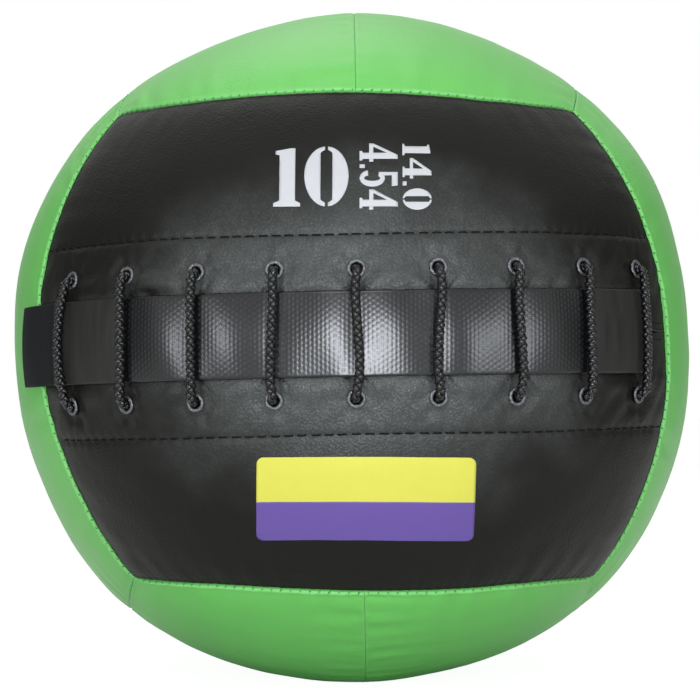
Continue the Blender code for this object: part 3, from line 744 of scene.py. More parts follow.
def punch_holes(piece, level):
    """Opens the eyelets' holes in a front panel or a facing, and rounds them."""
    radius = sizes().eyelet_bore + HOLE_ROOM
    centres = [Vector(on_ball(belt_way(*place))) for place in eyelet_places(level)]
    with edit_mode(piece, "FACE", selected=False):
        shape = bmesh.from_edit_mesh(piece.data)
        for face in shape.faces:
            middle = face.calc_center_median()
            if any((middle - centre).length < radius for centre in centres):
                face.select_set(True)
        bpy.ops.mesh.delete(type="FACE")
        shape = bmesh.from_edit_mesh(piece.data)
        for centre in centres:
            for vertex in shape.verts:
                step = vertex.co - centre
                if vertex.is_boundary and step.length < 1.6 * radius:
                    vertex.co = centre + step.normalized() * radius
        bmesh.update_edit_mesh(piece.data)


def set_on_floor(piece):
    """Lifts what would sink into the floor up to it, as the ball's own weight flattens it there."""
    places = vertex_places(piece)
    places[:, 2] = np.maximum(places[:, 2], 0.0)
    place_vertices(piece, places)


def make_skin(panel, way, seams, seed, fabric, front_level=0):
    """One panel's skin: shaped, folded in at its rim, pierced where it has eyelets, and given its wall."""
    points, crest = skin_points(way, seams, seed, bool(front_level), fabric == "green")
    piece = wrapped_grid(f"{panel}_skin", points)
    # A painted highlight along the crest of each rolled rim, for the green coating.
    mark_vertices(piece, "rim_wear", crest)
    if front_level:
        # Painted shade in the creases and hollows round the lacing, for the black coating.
        mark_vertices(piece, "crease", creased(way))
    face_outwards(piece)
    fold_rim(piece, range(way.shape[1]) if front_level else ())
    if front_level:
        punch_holes(piece, front_level)
    thicken(piece, SKIN_THICKNESS)
    set_on_floor(piece)
    finish_piece(piece, coated_fabric(fabric), f"{fabric}_leather", f"{panel}_panel")


def all_firm(*edges):
    return dict.fromkeys(edges, 1.0)


def behind(seam):
    """The mirror image of a seam, behind the ball."""
    def seam_behind(share):
        return mirrored(seam(share))
    return seam_behind


def make_front_skins():
    cell = 0.00135
    for label, level in SLIT_EDGES:
        rim = front_edge(level, corner_lon(-1, level), corner_lon(1, level))
        sides = [side_edge(side, belt_lat(belt_end(side)), level * CORNER_LAT) for _, side in SIDES]
        across = lines(arc(slit_edge), cell)
        up = lines(arc(sides[0]), cell, closed_low=False)
        way = patch(slit_edge, rim, *sides, across, up)
        make_skin(f"front_{label}", way, all_firm("high", "left", "right"), 20 + 10 * level, "black", level)


def make_back_skin():
    cell = 0.0021
    rims = [front_edge(level, corner_lon(-1, level), corner_lon(1, level)) for level in (-1, 1)]
    sides = [side_edge(side, -CORNER_LAT, CORNER_LAT) for _, side in SIDES]
    way = mirrored(patch(*rims, *sides, lines(arc(rims[0]), cell), lines(arc(sides[0]), cell)))
    make_skin("back", way, all_firm("low", "high", "left", "right"), 40, "black")


def make_side_skins():
    cell = 0.0018
    for label, side in SIDES:
        front = side_edge(side, -CORNER_LAT, CORNER_LAT)
        low, high = corner_seam(side, -1), corner_seam(side, 1)
        way = patch(low, high, front, behind(front), lines(arc(low), cell), lines(arc(front), cell))
        seams = all_firm("left", "right") | {"low": CORNER_SHARE, "high": CORNER_SHARE}
        make_skin(f"{label}_side", way, seams, 50 + side, "green")


def make_cap_skins():
    cell = 0.0018
    for label, level in CAPS:
        middle = 0.0 if level > 0 else BOTTOM_SEAM_LON
        for hand, side in SIDES:
            front = front_edge(level, corner_lon(side, level), middle)
            corner = corner_seam(side, level)
            way = patch(front, behind(front), corner, centre_seam(level), lines(arc(front), cell),
                        lines(arc(corner), cell))
            seams = all_firm("low", "high") | {"left": CORNER_SHARE, "right": CENTRE_SHARE}
            make_skin(f"{label}_{hand}", way, seams, 60 + 4 * level + side, "green")


class SkinFinder:
    """Finds the skin's outer surface along unit vectors, after the skin is made."""

    def __init__(self, *names):
        graph = bpy.context.evaluated_depsgraph_get()
        self.trees = [BVHTree.FromObject(bpy.data.objects[name], graph) for name in names]

    def reach(self, ways, height=0.0):
        """Points above the skin along unit vectors, and the skin's normals there."""
        outside, below = 0.3, -0.0015
        points, normals = [], []
        middle = Vector(CENTRE)
        for way in ways.reshape(-1, 3):
            way = Vector(way)
            hits = [tree.ray_cast(middle + way * outside, -way) for tree in self.trees]
            hits = [hit for hit in hits if hit[0] is not None]
            if hits:
                place, normal = max(hits, key=lambda hit: (hit[0] - middle).length)[:2]
            else:
                smooth = Vector(on_ball(np.array(way)[None], below)[0])
                place = min((tree.find_nearest(smooth) for tree in self.trees), key=lambda hit: hit[3])[0]
                normal = way
            points.append(place + normal * height)
            normals.append(normal)
        return np.array(points).reshape(ways.shape), np.array(normals).reshape(ways.shape)


# The belt: cover strip, facings, eyelets and lacing

def eyelet_places(level):
    """Places of a row's eyelets, from the left, as lengths along the slit and above it."""
    size = sizes()
    middle = (EYELETS_PER_ROW - 1) / 2
    row = level * size.eyelet_row
    return [((index - middle) * size.eyelet_pitch, row) for index in range(EYELETS_PER_ROW)]


def eyelet_frame(place):
    """Centre, outward normal and the direction along the surface towards the slit."""
    way = belt_way(*place)
    normal = outward(way)
    step = on_ball(belt_way(place[0], 0.0)) - on_ball(way)
    return on_ball(way), normal, square_to(normal, step)


def emboss(along, up):
    """Staggered oblong bumps pressed into the strip, from 0 to 1."""
    column = np.round(along / BUMP_COLUMN)
    across = np.cos(np.pi * (along / BUMP_COLUMN - column))
    run = 0.5 + 0.5 * np.cos(2 * np.pi * up / BUMP_LENGTH + np.pi * column)
    return across * (0.35 + 0.65 * run)


def strip_wave(along, up):
    """How the strip bulges between the strands, which press it in, and lifts along its lower edge."""
    size = sizes()
    beside = nearest_strand(along)
    bulge = 0.0006 * (1 - bell(beside, size.eyelet_pitch * 0.25)) * np.cos(np.pi * up / size.strip_width)
    lift = 0.0007 * bell((along - 0.012) / 0.055, 1.0) * np.clip(-up / (size.strip_width / 2), 0, 1) ** 3
    press = 0.0003 * bell(beside, 0.0036)
    return bulge + lift - press + 0.00030 * run_waves(along + 0.25 * up, 0.034, 3)


def strip_height(along, up):
    """The strip's upper face: a thicker tab, rounded rims, and bumps that fade out towards both ends.

    The bumps begin well past the tab, and end a little past the last strand but one.
    """
    size = sizes()
    from_left, from_right = along + size.strip_left, size.strip_right - along
    inset = np.minimum(size.strip_width / 2 - np.abs(up), np.minimum(from_left, from_right))
    rim_width, rim_fall, bump_height, fade = 0.0011, 0.0005, 0.00008, 0.010
    bare_past_tab, bumps_past_strand = 0.028, 0.006
    rim = np.clip(inset / rim_width, 0, 1)
    edge = -rim_fall * (1 - np.sqrt(1 - (1 - rim) ** 2))
    tab = 0.0003 * fading(from_left - size.tab_length, 0.00035)
    bumpy = np.clip((from_left - size.tab_length - bare_past_tab) / fade, 0, 1)
    bumpy *= np.clip((eyelet_places(1)[-2][0] + bumps_past_strand - along) / fade, 0, 1)
    bumps = bump_height * emboss(along, up) * bumpy * np.clip(inset / 0.0016 - 0.4, 0, 1)
    return STRIP_SEAT + size.strip_thickness + strip_wave(along, up) + edge + bumps + tab


def make_strip():
    size = sizes()
    along = np.arange(-size.strip_left, size.strip_right, BUMP_COLUMN / 4)
    rows = round(size.strip_width / (BUMP_LENGTH / 6)) + 1
    up = np.linspace(-size.strip_width / 2, size.strip_width / 2, rows)
    a, b = np.meshgrid(along, up)
    upper = wrapped_grid("strip_upper_face", on_ball(belt_way(a, b), strip_height(a, b)))
    # Where the bumps' tops get a painted highlight, for the vinyl.
    mark_vertices(upper, "bump_top", np.clip(1.5 * emboss(a, b) - 0.5, 0.0, 1.0))
    under_a, under_b = np.meshgrid(np.linspace(along[0], along[-1], 120), np.linspace(up[0], up[-1], 9))
    under = wrapped_grid("strip_under_face", on_ball(belt_way(under_a, under_b), STRIP_SEAT))
    piece = join_pieces("cover_strip_vinyl", [upper, under])
    with edit_mode(piece, "EDGE", selected=False):
        bpy.ops.mesh.select_non_manifold()
        bpy.ops.mesh.bridge_edge_loops()
        turn_faces_out()
    bpy.ops.object.shade_smooth()
    finish_piece(piece, embossed_vinyl(), "cover_vinyl", "cover_strip")
    backing, rubbed = 1, 2
    piece.data.materials.append(strip_backing())
    piece.data.materials.append(rubbed_vinyl())
    marks = (size.tab_length - size.strip_left, eyelet_places(1)[1][0], eyelet_places(1)[-2][0])
    tab_x, left_x, right_x = (on_ball(belt_way(mark, 0.0))[0] for mark in marks)
    for face in piece.data.polygons:
        if face.center.x < tab_x:
            face.material_index = backing
        elif not left_x <= face.center.x <= right_x:
            face.material_index = rubbed


def placed_copy(model, name, place, onward, normal):
    """A copy of a model with its own mesh, set down with its X along onward and its Z along the normal."""
    piece = own_copy(model, name)
    turn = Matrix((onward, np.cross(normal, onward), normal)).transposed().to_4x4()
    turn.translation = Vector(place)
    piece.data.transform(turn)
    return piece


def eyelet_profile():
    """Section of a pressed eyelet: a rolled flange, a barrel and a rolled foot."""
    size = sizes()
    bore, flange = size.eyelet_bore, size.eyelet_flange
    wall, corner = 0.0004, 0.0002
    roll = (flange - bore) / 2
    seat = EYELET_SEAT
    over = [(bore + roll + roll * np.cos(turn), seat + 0.0001 + EYELET_RIM * 1.5 * np.sin(turn))
            for turn in np.linspace(np.pi, 0.0, 11)]
    under = [(flange - corner, seat), (bore + wall + corner, seat), (bore + wall, seat - corner)]
    down = [(bore + wall, -EYELET_REACH), (bore, -EYELET_REACH)]
    return over + under + down + [over[0]]


def model_eyelet():
    """One eyelet at the origin with its flange up: a ring, drawn along its section step by step."""
    (radius, height), *steps = eyelet_profile()
    bpy.ops.object.select_all(action="DESELECT")
    bpy.ops.mesh.primitive_circle_add(vertices=36, radius=radius, location=(0.0, 0.0, height))
    model = bpy.context.object
    bpy.ops.object.transform_apply(location=True, rotation=False, scale=False)
    with edit_mode(model, "EDGE"):
        for next_radius, next_height in steps:
            share = next_radius / radius
            rise = (0.0, 0.0, next_height - height)
            bpy.ops.mesh.extrude_edges_move(TRANSFORM_OT_translate={"value": rise})
            bpy.ops.transform.resize(value=(share, share, 1.0), center_override=(0.0, 0.0, next_height))
            radius, height = next_radius, next_height
        bpy.ops.mesh.select_all(action="SELECT")
        bpy.ops.mesh.remove_doubles(threshold=0.00002)
        turn_faces_out()
    bpy.ops.object.shade_smooth()
    return model


def make_eyelets():
    model = model_eyelet()
    for label, level in SLIT_EDGES:
        for number, place in enumerate(eyelet_places(level), start=1):
            centre, normal, inward = eyelet_frame(place)
            piece = placed_copy(model, f"{label}_eyelet_ring_{number}", centre, inward, normal)
            finish_piece(piece, black_enamelled_brass(), "enamelled_brass", f"{label}_eyelet_{number}")
    bpy.data.objects.remove(model)


def bend(centre, normal, onward, lift):
    """Points of a quarter turn from along the normal to along onward."""
    angles = np.linspace(0.0, np.pi / 2, 9)
    rise = np.sign(lift) * BEND_RADIUS * np.sin(angles) + lift
    run = BEND_RADIUS * (1 - np.cos(angles))
    return [centre + normal * h + onward * s for h, s in zip(rise, run)]


def strand(index):
    """The visible stretch from an upper eyelet over the strip to the lower one."""
    upper = eyelet_frame(eyelet_places(1)[index])
    lower = eyelet_frame(eyelet_places(-1)[index])
    along = eyelet_places(1)[index][0]
    span = sizes().eyelet_row - BEND_RADIUS
    ups = np.linspace(span, -span, 24)[1:-1]
    share = ups / span
    wander = STRAND_BOWS[index] * (1 - share**2) - STRAND_LEANS[index] * share * (1 - share**4)
    over = list(on_ball(belt_way(along + wander, ups), STRAND_HEIGHT))
    return bend(*upper, EYELET_RIM) + over + bend(*lower, EYELET_RIM)[::-1]


def hidden_stretch(index):
    """The stretch behind the skin from a lower eyelet to the next upper one."""
    start_place, end_place = np.array(eyelet_places(-1)[index]), np.array(eyelet_places(1)[index + 1])
    start, start_normal, _ = eyelet_frame(start_place)
    end, end_normal, _ = eyelet_frame(end_place)
    leave = bend(start, start_normal, square_to(start_normal, end - start), -EYELET_REACH)
    arrive = bend(end, end_normal, square_to(end_normal, start - end), -EYELET_REACH)
    shares = np.linspace(0.12, 0.88, 16)[:, None]
    run = start_place + shares * (end_place - start_place)
    return leave + list(on_ball(belt_way(run[:, 0], run[:, 1]), -HIDDEN_DEPTH)) + arrive[::-1]


def tail(place):
    """The stretch from an end eyelet to its knot, behind the skin."""
    centre, normal, inward = eyelet_frame(place)
    turn = bend(centre, normal, inward, -EYELET_REACH)
    run = TAIL_LENGTH - BEND_RADIUS
    return turn + [turn[-1] + inward * run * share for share in (0.35, 0.7, 1.0)]


def evened(points, step):
    """A polyline as evenly spaced points, without doubled ones, smoothed a little."""
    points = np.array(points)
    runs = np.linalg.norm(np.diff(points, axis=0), axis=-1)
    points = points[np.concatenate([[True], runs > 0.00001])]
    reach = run_along(points)
    marks = np.linspace(0.0, reach[-1], round(reach[-1] / step) + 1)
    even = np.stack([np.interp(marks, reach, points[:, axis]) for axis in range(3)], axis=-1)
    for _ in range(6):
        even[1:-1] = (even[:-2] + 2 * even[1:-1] + even[2:]) / 4
    return even


def cross_directions(line, guides=None):
    """Two directions square to a line at each point.

    The first points towards the guides, or else turns as little as it can on its way along the line.
    """
    tangents = unit(np.gradient(line, axis=0))
    if guides is None:
        guides = [np.array(Vector(tangents[0]).orthogonal().normalized())]
        for tangent in tangents:
            guides.append(square_to(tangent, guides[-1]))
        guides = np.array(guides[1:])
    sides = square_to(tangents, guides)
    return sides, np.cross(tangents, sides)


def swept(name, line, radii, ring_sides, guides=None):
    """A closed tube round a line; radii are its half widths towards the guides and across them."""
    sides, others = cross_directions(line, guides)
    angles = np.linspace(0, 2 * np.pi, ring_sides + 1)
    angles[-1] = 0.0
    ring = np.cos(angles)[None, :, None] * sides[:, None] * radii[0]
    ring = ring + np.sin(angles)[None, :, None] * others[:, None] * radii[1]
    taper = np.ones(len(line))
    taper[[0, -1]] = 0.4
    piece = wrapped_grid(name, line[:, None] + ring * taper[:, None, None], joined=True)
    with edit_mode(piece, "EDGE", selected=False):
        bpy.ops.mesh.select_non_manifold()
        bpy.ops.mesh.edge_face_add()
        turn_faces_out()
    bpy.ops.object.shade_smooth()
    return piece


def join_pieces(name, parts):
    bpy.ops.object.select_all(action="DESELECT")
    for part in parts:
        part.select_set(True)
    bpy.context.view_layer.objects.active = parts[0]
    if len(parts) > 1:
        bpy.ops.object.join()
    return named(bpy.context.object, name)


def braid(name, line, guides):
    """Four plaits that pass over and under each other round a line, two turning each way.

    The guides point to the cord's side. The plaits cross an eighth of a turn from there, so that between two
    rows of crossings the cord's face shows one chevron after another.
    """
    size = sizes()
    radius = size.cord_diameter / 2
    plait = (0.30 * radius, 0.54 * radius)
    swing = 0.30 * radius
    middle = radius - plait[0] - swing
    sides, others = cross_directions(line, guides)
    step = np.linalg.norm(line[1] - line[0])
    turn = 2 * np.pi * step * np.arange(len(line)) / size.braid_lead
    parts = []
    for way in (1, -1):
        for phase in (0.0, np.pi):
            angle = way * turn + phase + np.pi / 4
            away = np.cos(angle)[:, None] * sides + np.sin(angle)[:, None] * others
            path = line + away * (middle + way * swing * np.cos(2 * turn))[:, None]
            parts.append(swept(f"{name}_plait", path, plait, 7, away))
    return join_pieces(name, parts)


def lacing_points():
    upper, lower = eyelet_places(1), eyelet_places(-1)
    points = tail(upper[0])[::-1]
    for index in range(EYELETS_PER_ROW):
        points += strand(index)
        if index < EYELETS_PER_ROW - 1:
            points += hidden_stretch(index)
    return points + tail(lower[-1])


def make_lacing():
    line = evened(lacing_points(), CORD_STEP)
    outwards = unit((line - CENTRE) * np.array([1.0, 1.0, 0.0]))
    piece = braid("lacing_braid", line, np.cross(np.array([0.0, 0.0, 1.0]), outwards))
    finish_piece(piece, braided_nylon_cord(), "braided_nylon", "lacing_cord")
    for (label, _), end, before in zip(SIDES, (line[0], line[-1]), (line[4], line[-5])):
        make_knot(f"lace_knot_{label}", unit(end - before))


def make_knot(node, way):
    """A stopper knot drawn up tight: one tube through a threefold loop."""
    loop_radius, loop_rise, cord_radius = 0.00085, 0.0011, 0.00125
    angles = np.linspace(0, 2 * np.pi, 97)
    x = np.sin(angles) + 1.6 * np.sin(2 * angles)
    y = np.cos(angles) - 1.6 * np.cos(2 * angles)
    z = -np.sin(3 * angles)
    side = np.array(Vector(way).orthogonal().normalized())
    other = np.cross(way, side)
    middle = np.array(sum(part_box(node), Vector()) / 2)
    loop = middle + loop_radius * (x[:, None] * side + y[:, None] * other) + loop_rise * z[:, None] * way
    piece = swept(f"{node}_loops", loop, (cord_radius, cord_radius), 12)
    finish_piece(piece, braided_nylon_cord(), "braided_nylon", node)


def make_facings():
    """Canvas strips behind the two edges of the slit."""
    size = sizes()
    short_of_seam, lag = 0.0145, 0.0002
    stop = math.radians(belt_end(1)) * reference_radius() - short_of_seam
    for label, level in SLIT_EDGES:
        along = np.linspace(-stop, stop, 180)
        up = level * np.linspace(SLIT_HALF, size.topstitch_row + FACING_HEM, 28)
        way = belt_way(*np.meshgrid(along, up))
        sag = 0.00015 * waves(way * reference_radius(), 0.020, 31)
        piece = wrapped_grid(f"{label}_facing_canvas", on_ball(way, -FACING_TOP - lag + sag))
        face_outwards(piece)
        punch_holes(piece, level)
        thicken(piece, FACING_THICKNESS)
        finish_piece(piece, woven_canvas("canvas"), "facing_canvas", f"{label}_facing")


# Stitching

def model_stitch(run, radius, sink):
    """One stitch at the origin along X: a short thread that dives into the skin at both ends."""
    steps = 5
    shares = np.linspace(-1.0, 1.0, steps + 1)
    dive = 2.2 * np.maximum(np.abs(shares) - 0.55, 0.0) / 0.45
    heights = radius * 0.6 - sink - radius * dive
    bpy.ops.object.select_all(action="DESELECT")
    bpy.ops.mesh.primitive_circle_add(vertices=5, radius=radius, fill_type="NGON",
                                      location=(-run / 2, 0.0, heights[0]), rotation=(0.0, math.pi / 2, 0.0))
    model = bpy.context.object
    bpy.ops.object.transform_apply(location=True, rotation=True, scale=False)
    with edit_mode(model, "FACE"):
        for rise in np.diff(heights):
            bpy.ops.mesh.extrude_region_move(TRANSFORM_OT_translate={"value": (run / steps, 0.0, rise)})
        turn_faces_out()
    bpy.ops.object.shade_smooth()
    return model


def stitch_row(name, ways, finder, thread, slot, *nodes, run, radius, sink, slant=0.0, uneven=0.0):
    """A row of stitches along unit vectors, each a copy of one stitch, slanted and unevenly deep."""
    model = model_stitch(run, radius, sink)
    points, normals = finder.reach(ways)
    draw = np.random.default_rng(len(ways))
    points = points + normals * draw.uniform(-uneven, uneven, (len(ways), 1))
    tangents = unit(np.gradient(points, axis=0))
    onwards = square_to(normals, tangents + slant * np.cross(normals, tangents))
    stitches = [placed_copy(model, name, *spot) for spot in zip(points, onwards, normals)]
    bpy.data.objects.remove(model)
    piece = join_pieces(name, stitches)
    set_on_floor(piece)
    return finish_piece(piece, sewing_thread(thread), slot, *nodes)


def spaced(seam, pitch, margin):
    """Unit vectors along a seam, a stitch apart."""
    shares = np.linspace(0, 1, 400)
    reach = run_along(seam(shares)) * reference_radius()
    count = int((reach[-1] - 2 * margin) / pitch)
    return seam(np.interp(margin + pitch * (np.arange(count) + 0.5), reach, shares))


def make_topstitching():
    size = sizes()
    pitch, row = size.topstitch_pitch, size.topstitch_row
    margin = 0.006
    finder = SkinFinder("front_upper_skin", "front_lower_skin")
    for label, level in SLIT_EDGES:
        lat = level * math.degrees(row / reference_radius())
        left, right = (math.radians(side_lon(lat, side)) * reference_radius() for _, side in SIDES)
        first, last = math.ceil((left + margin) / pitch), math.floor((right - margin) / pitch)
        along = np.arange(first, last + 1) * pitch
        stitch_row(f"{label}_topstitching", belt_way(along, np.full(len(along), level * row)), finder,
                   "black_thread", "black_thread", f"{label}_topstitch", run=0.74 * pitch, radius=0.00040,
                   sink=0.00004)


def make_slit_bars():
    """Short bars of stitches, in three rows, that stop the slit at both of its ends."""
    finder = SkinFinder("front_upper_skin", "front_lower_skin")
    short_of_seam, bar_length, pitch = 0.0065, 0.0095, 0.0021
    for label, side in SIDES:
        stop = math.radians(abs(belt_end(side))) * reference_radius() - short_of_seam
        along = side * np.arange(stop - bar_length, stop, pitch)
        parts = []
        for number, up in enumerate((0.0042, 0.0011, -0.0036)):
            ways = belt_way(along, np.full(along.shape, up))
            parts.append(stitch_row(f"slit_bar_{label}_row_{number}", ways, finder, "black_thread",
                                    "black_thread", run=0.0016, radius=0.00032, sink=0.00005))
        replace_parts(join_pieces(f"slit_bar_{label}_stitches", parts), f"slit_bar_{label}")


def make_seam_stitches():
    """Slanted stitches round the black panels, and straight ones along the seams between green panels."""
    pitch = sizes().stitch_pitch
    sides = [f"{hand}_side_skin" for hand, _ in SIDES]
    caps = [f"{label}_{hand}_skin" for label, _ in CAPS for hand, _ in SIDES]
    finder = SkinFinder("front_upper_skin", "front_lower_skin", "back_skin", *sides, *caps)
    outside = 0.0003 / reference_radius()
    edges = [front_edge(1, corner_lon(-1, 1), corner_lon(1, 1)), side_edge(1, CORNER_LAT, -CORNER_LAT),
             front_edge(-1, corner_lon(1, -1), corner_lon(-1, -1)), side_edge(-1, -CORNER_LAT, CORNER_LAT)]
    round_panel = np.concatenate([spaced(edge, pitch, 0.001) for edge in edges])
    round_panel = unit(round_panel + outside * unit(round_panel * np.array([1.0, 0.0, 1.0])))
    for label, ways in (("front", round_panel), ("back", mirrored(round_panel))):
        stitch_row(f"{label}_seam_stitches", ways, finder, "seam_thread", "green_thread",
                   f"{label}_seam_thread", run=0.0013, radius=0.00030, sink=0.0001, slant=1.2, uneven=0.00022)
    for label, level in CAPS:
        seams = [("centre", centre_seam(level))] + [(hand, corner_seam(side, level)) for hand, side in SIDES]
        for hand, seam in seams:
            stitch_row(f"{label}_{hand}_stitches", spaced(seam, pitch, 0.003), finder, "seam_thread",
                       "green_thread", f"{label}_{hand}_thread", run=0.0026, radius=0.00028, sink=-0.00010,
                       uneven=0.00008)


# Print

def outline_mesh(name, loops, cell):
    """A flat figure from closed loops of points, holes included, divided into cells."""
    curve = bpy.data.curves.new(name, "CURVE")
    curve.dimensions = "2D"
    curve.fill_mode = "BOTH"
    for loop in loops:
        line = curve.splines.new("POLY")
        line.points.add(len(loop) - 1)
        for knot, (x, y) in zip(line.points, loop):
            knot.co = (x, y, 0.0, 1.0)
        line.use_cyclic_u = True
    select_only(add_to_scene(name, curve))
    bpy.ops.object.convert(target="MESH")
    piece = bpy.context.object
    piece.name = name
    merge_doubles(piece, 0.000001)
    corners = vertex_places(piece)
    shape = bmesh.new()
    shape.from_mesh(piece.data)
    for axis, normal in enumerate((Vector((1, 0, 0)), Vector((0, 1, 0)))):
        for mark in np.arange(corners[:, axis].min() + cell / 2, corners[:, axis].max(), cell):
            bmesh.ops.bisect_plane(shape, geom=shape.verts[:] + shape.edges[:] + shape.faces[:],
                                   plane_co=normal * mark, plane_no=normal)
    shape.to_mesh(piece.data)
    shape.free()
    return piece


def drape_print(piece, lon, lat, finder, layer, ink):
    """Lays a flat figure on the skin round a place, as a thin film over the layers below it."""
    radius = reference_radius()
    film, first_height, layer_height = 0.00005, 0.00008, 0.00007
    flat = vertex_places(piece)
    lats = lat + np.degrees(flat[:, 1] / radius)
    lons = lon + np.degrees(flat[:, 0] / (radius * np.cos(np.radians(lats))))
    points, _ = finder.reach(toward(lons, lats), first_height + layer_height * layer)
    place_vertices(piece, points)
    face_outwards(piece)
    thicken(piece, film, 1.0)
    finish_piece(piece, print_film(ink), "cover_vinyl")


def box_loop(x, y, width, height, radius=0.0, steps=5):
    """A rounded rectangle's outline from its lower left corner."""
    if radius == 0.0:
        return [(x, y), (x + width, y), (x + width, y + height), (x, y + height)]
    left, right, low, high = x + radius, x + width - radius, y + radius, y + height - radius
    corners = ((right, low, -90), (right, high, 0), (left, high, 90), (left, low, 180))
    return [point for cx, cy, start in corners
            for point in bow_points((cx, cy), radius, radius, start, start + 90, steps)]


def scaled(loops, size):
    return [[(x * size, y * size) for x, y in loop] for loop in loops]


def shifted(loops, x, y):
    return [[(px + x, py + y) for px, py in loop] for loop in loops]


def turned_down(loops, x, top, stretch=1.0):
    """Figures turned to read downwards, from their left edge and their top."""
    return [[(py + x, top - px * stretch) for px, py in loop] for loop in loops]


def one_loops(height):
    """A stencilled 1 with a flag and a foot, from its lower left corner."""
    outline = [(0.0, 0.0), (0.40, 0.0), (0.40, 0.055), (0.325, 0.095), (0.325, 0.97), (0.26, 0.97),
               (0.03, 0.925), (0.03, 0.865), (0.09, 0.85), (0.09, 0.095), (0.0, 0.055)]
    return scaled([outline], height)


def nought_loops(height):
    """A stencilled 0 in two halves, each a crescent between an oval and a straight counter."""
    width, top = 0.65, 0.44
    break_half, counter_half, counter_top = 0.021, 0.087, 0.385
    limit = math.asin(break_half / (width / 2))
    turns = np.linspace(limit, math.pi - limit, 33)
    bow = [(width / 2 * math.sin(turn), math.cos(turn) / 2) for turn in turns]
    counter = [(break_half, -top), (counter_half * 0.8, -0.41), (counter_half, -counter_top),
               (counter_half, counter_top), (counter_half * 0.8, 0.41), (break_half, top)]
    halves = [[(side * x + width / 2, y + 0.5) for x, y in bow + counter] for side in (-1, 1)]
    return scaled(halves, height)


def four_loops(height):
    """A stencilled 4 with a foot."""
    outline = [(0.28, 0.0), (0.62, 0.0), (0.62, 0.06), (0.56, 0.09), (0.56, 0.25), (0.66, 0.25), (0.66, 0.36),
               (0.56, 0.36), (0.56, 1.0), (0.42, 1.0), (0.0, 0.36), (0.0, 0.25), (0.34, 0.25), (0.34, 0.09),
               (0.28, 0.06)]
    hole = [(0.34, 0.36), (0.34, 0.72), (0.12, 0.36)]
    return scaled([outline, hole], height)


def bow_points(middle, half_width, half_height, first, last, steps):
    """Points of an oval's arc between two angles in degrees."""
    turns = np.radians(np.linspace(first, last, steps + 1))
    return [(middle[0] + half_width * math.cos(t), middle[1] + half_height * math.sin(t)) for t in turns]


def five_loops(height):
    """A stencilled 5: a flag, a stem and an open bowl."""
    middle = (0.26, 0.33)
    flag = [(0.05, 1.0), (0.50, 1.0), (0.53, 0.84), (0.16, 0.84), (0.145, 0.61)]
    bowl = bow_points(middle, 0.29, 0.33, 118, -160, 24) + bow_points(middle, 0.10, 0.21, -150, 130, 20)
    return scaled([flag + bowl + [(0.05, 0.50)]], height)


def dot_loops(height):
    return [box_loop(0.0, 0.0, 0.13 * height, 0.14 * height)]


def set_in_row(glyphs, height, gap_share):
    """Figures set side by side, and the length of the row."""
    loops, start = [], 0.0
    for glyph in glyphs:
        made = glyph(height)
        loops += shifted(made, start, 0.0)
        start += max(x for loop in made for x, _ in loop) + gap_share * height
    return loops, start - gap_share * height


def make_number():
    """The ball's weight in pounds, then in kilograms, and its width in inches, as plain numbers.

    The second and third numbers' heights and places are shares of the first one's height.
    """
    height = sizes().number_height
    loops = one_loops(height) + shifted(nought_loops(height), 0.46 * height, 0.0)
    run = 1.10 * height
    for glyphs, height_share, place_share in (((four_loops, dot_loops, five_loops, four_loops), 0.56, 1.27),
                                              ((one_loops, four_loops, dot_loops, nought_loops), 0.43, 1.90)):
        row, reach = set_in_row(glyphs, height_share * height, 0.09)
        loops += turned_down(row, place_share * height, 1.05 * height, run / reach)
    piece = outline_mesh("printed_numbers", loops, 0.0016)
    places = vertex_places(piece)
    place_vertices(piece, places - (places.min(axis=0) + places.max(axis=0)) / 2)
    drape_print(piece, -0.6, 24.4, SkinFinder("front_upper_skin"), 0, "white_ink")


def make_label():
    """A plain label: a yellow ground with rounded corners and a violet band over its lower half."""
    width, height = sizes().label_width, sizes().label_height
    lon, lat = 1.6, -24.0
    finder = SkinFinder("front_lower_skin")
    ground = box_loop(-width / 2, -height / 2, width, height, 0.0032, 8)
    band = [(x, min(y, -0.02 * height)) for x, y in ground]
    for layer, (name, loop, ink) in enumerate((("label_ground", ground, "yellow_ink"),
                                               ("label_band", band, "violet_ink"))):
        drape_print(outline_mesh(name, [loop], 0.0018), lon, lat, finder, layer, ink)


# Filling

def filled_copy(name, node, finish, slot, lump, wavelength, seed):
    """A soft piece from a filling node: its joined copy, remeshed fine and made uneven."""
    piece = own_copy(frame["nodes"][node], name)
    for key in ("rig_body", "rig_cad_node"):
        if key in piece:
            del piece[key]
    merge_doubles(piece, 0.00001)
    piece.data.remesh_voxel_size = 0.0045
    bpy.ops.object.voxel_remesh()
    places = vertex_places(piece)
    uneven = lump * (waves(places, wavelength, seed) - 1)
    place_vertices(piece, places + unit(places - CENTRE) * uneven[:, None])
    bpy.ops.object.shade_smooth()
    return finish_piece(piece, finish, slot, node)


def make_filling():
    """Each filling has its node and form, finish, slot, its lumps' height and length, and how full it is."""
    for label, seed in (("front", 71), ("back", 81)):
        fillings = (
            (f"foam_{label}", "pad", open_cell_foam(), "foam", 0.00015, 0.030, 0.8),
            (f"stuffing_{label}", "mass", polyester_fibre_fill(), "fibre_stuffing", 0.0005, 0.022, 0.7),
            (f"weight_bag_{label}", "half", woven_canvas("bag"), "bag_canvas", 0.0001, 0.030, 1.0),
        )
        for number, (node, form, finish, slot, lump, wavelength, fill) in enumerate(fillings):
            piece = filled_copy(f"{node}_{form}", node, finish, slot, lump, wavelength, seed + number)
    filled_copy("weight_sand", "weight_fill", dried_sand(), "sand", 0.0004, 0.012, 91)


# Materials

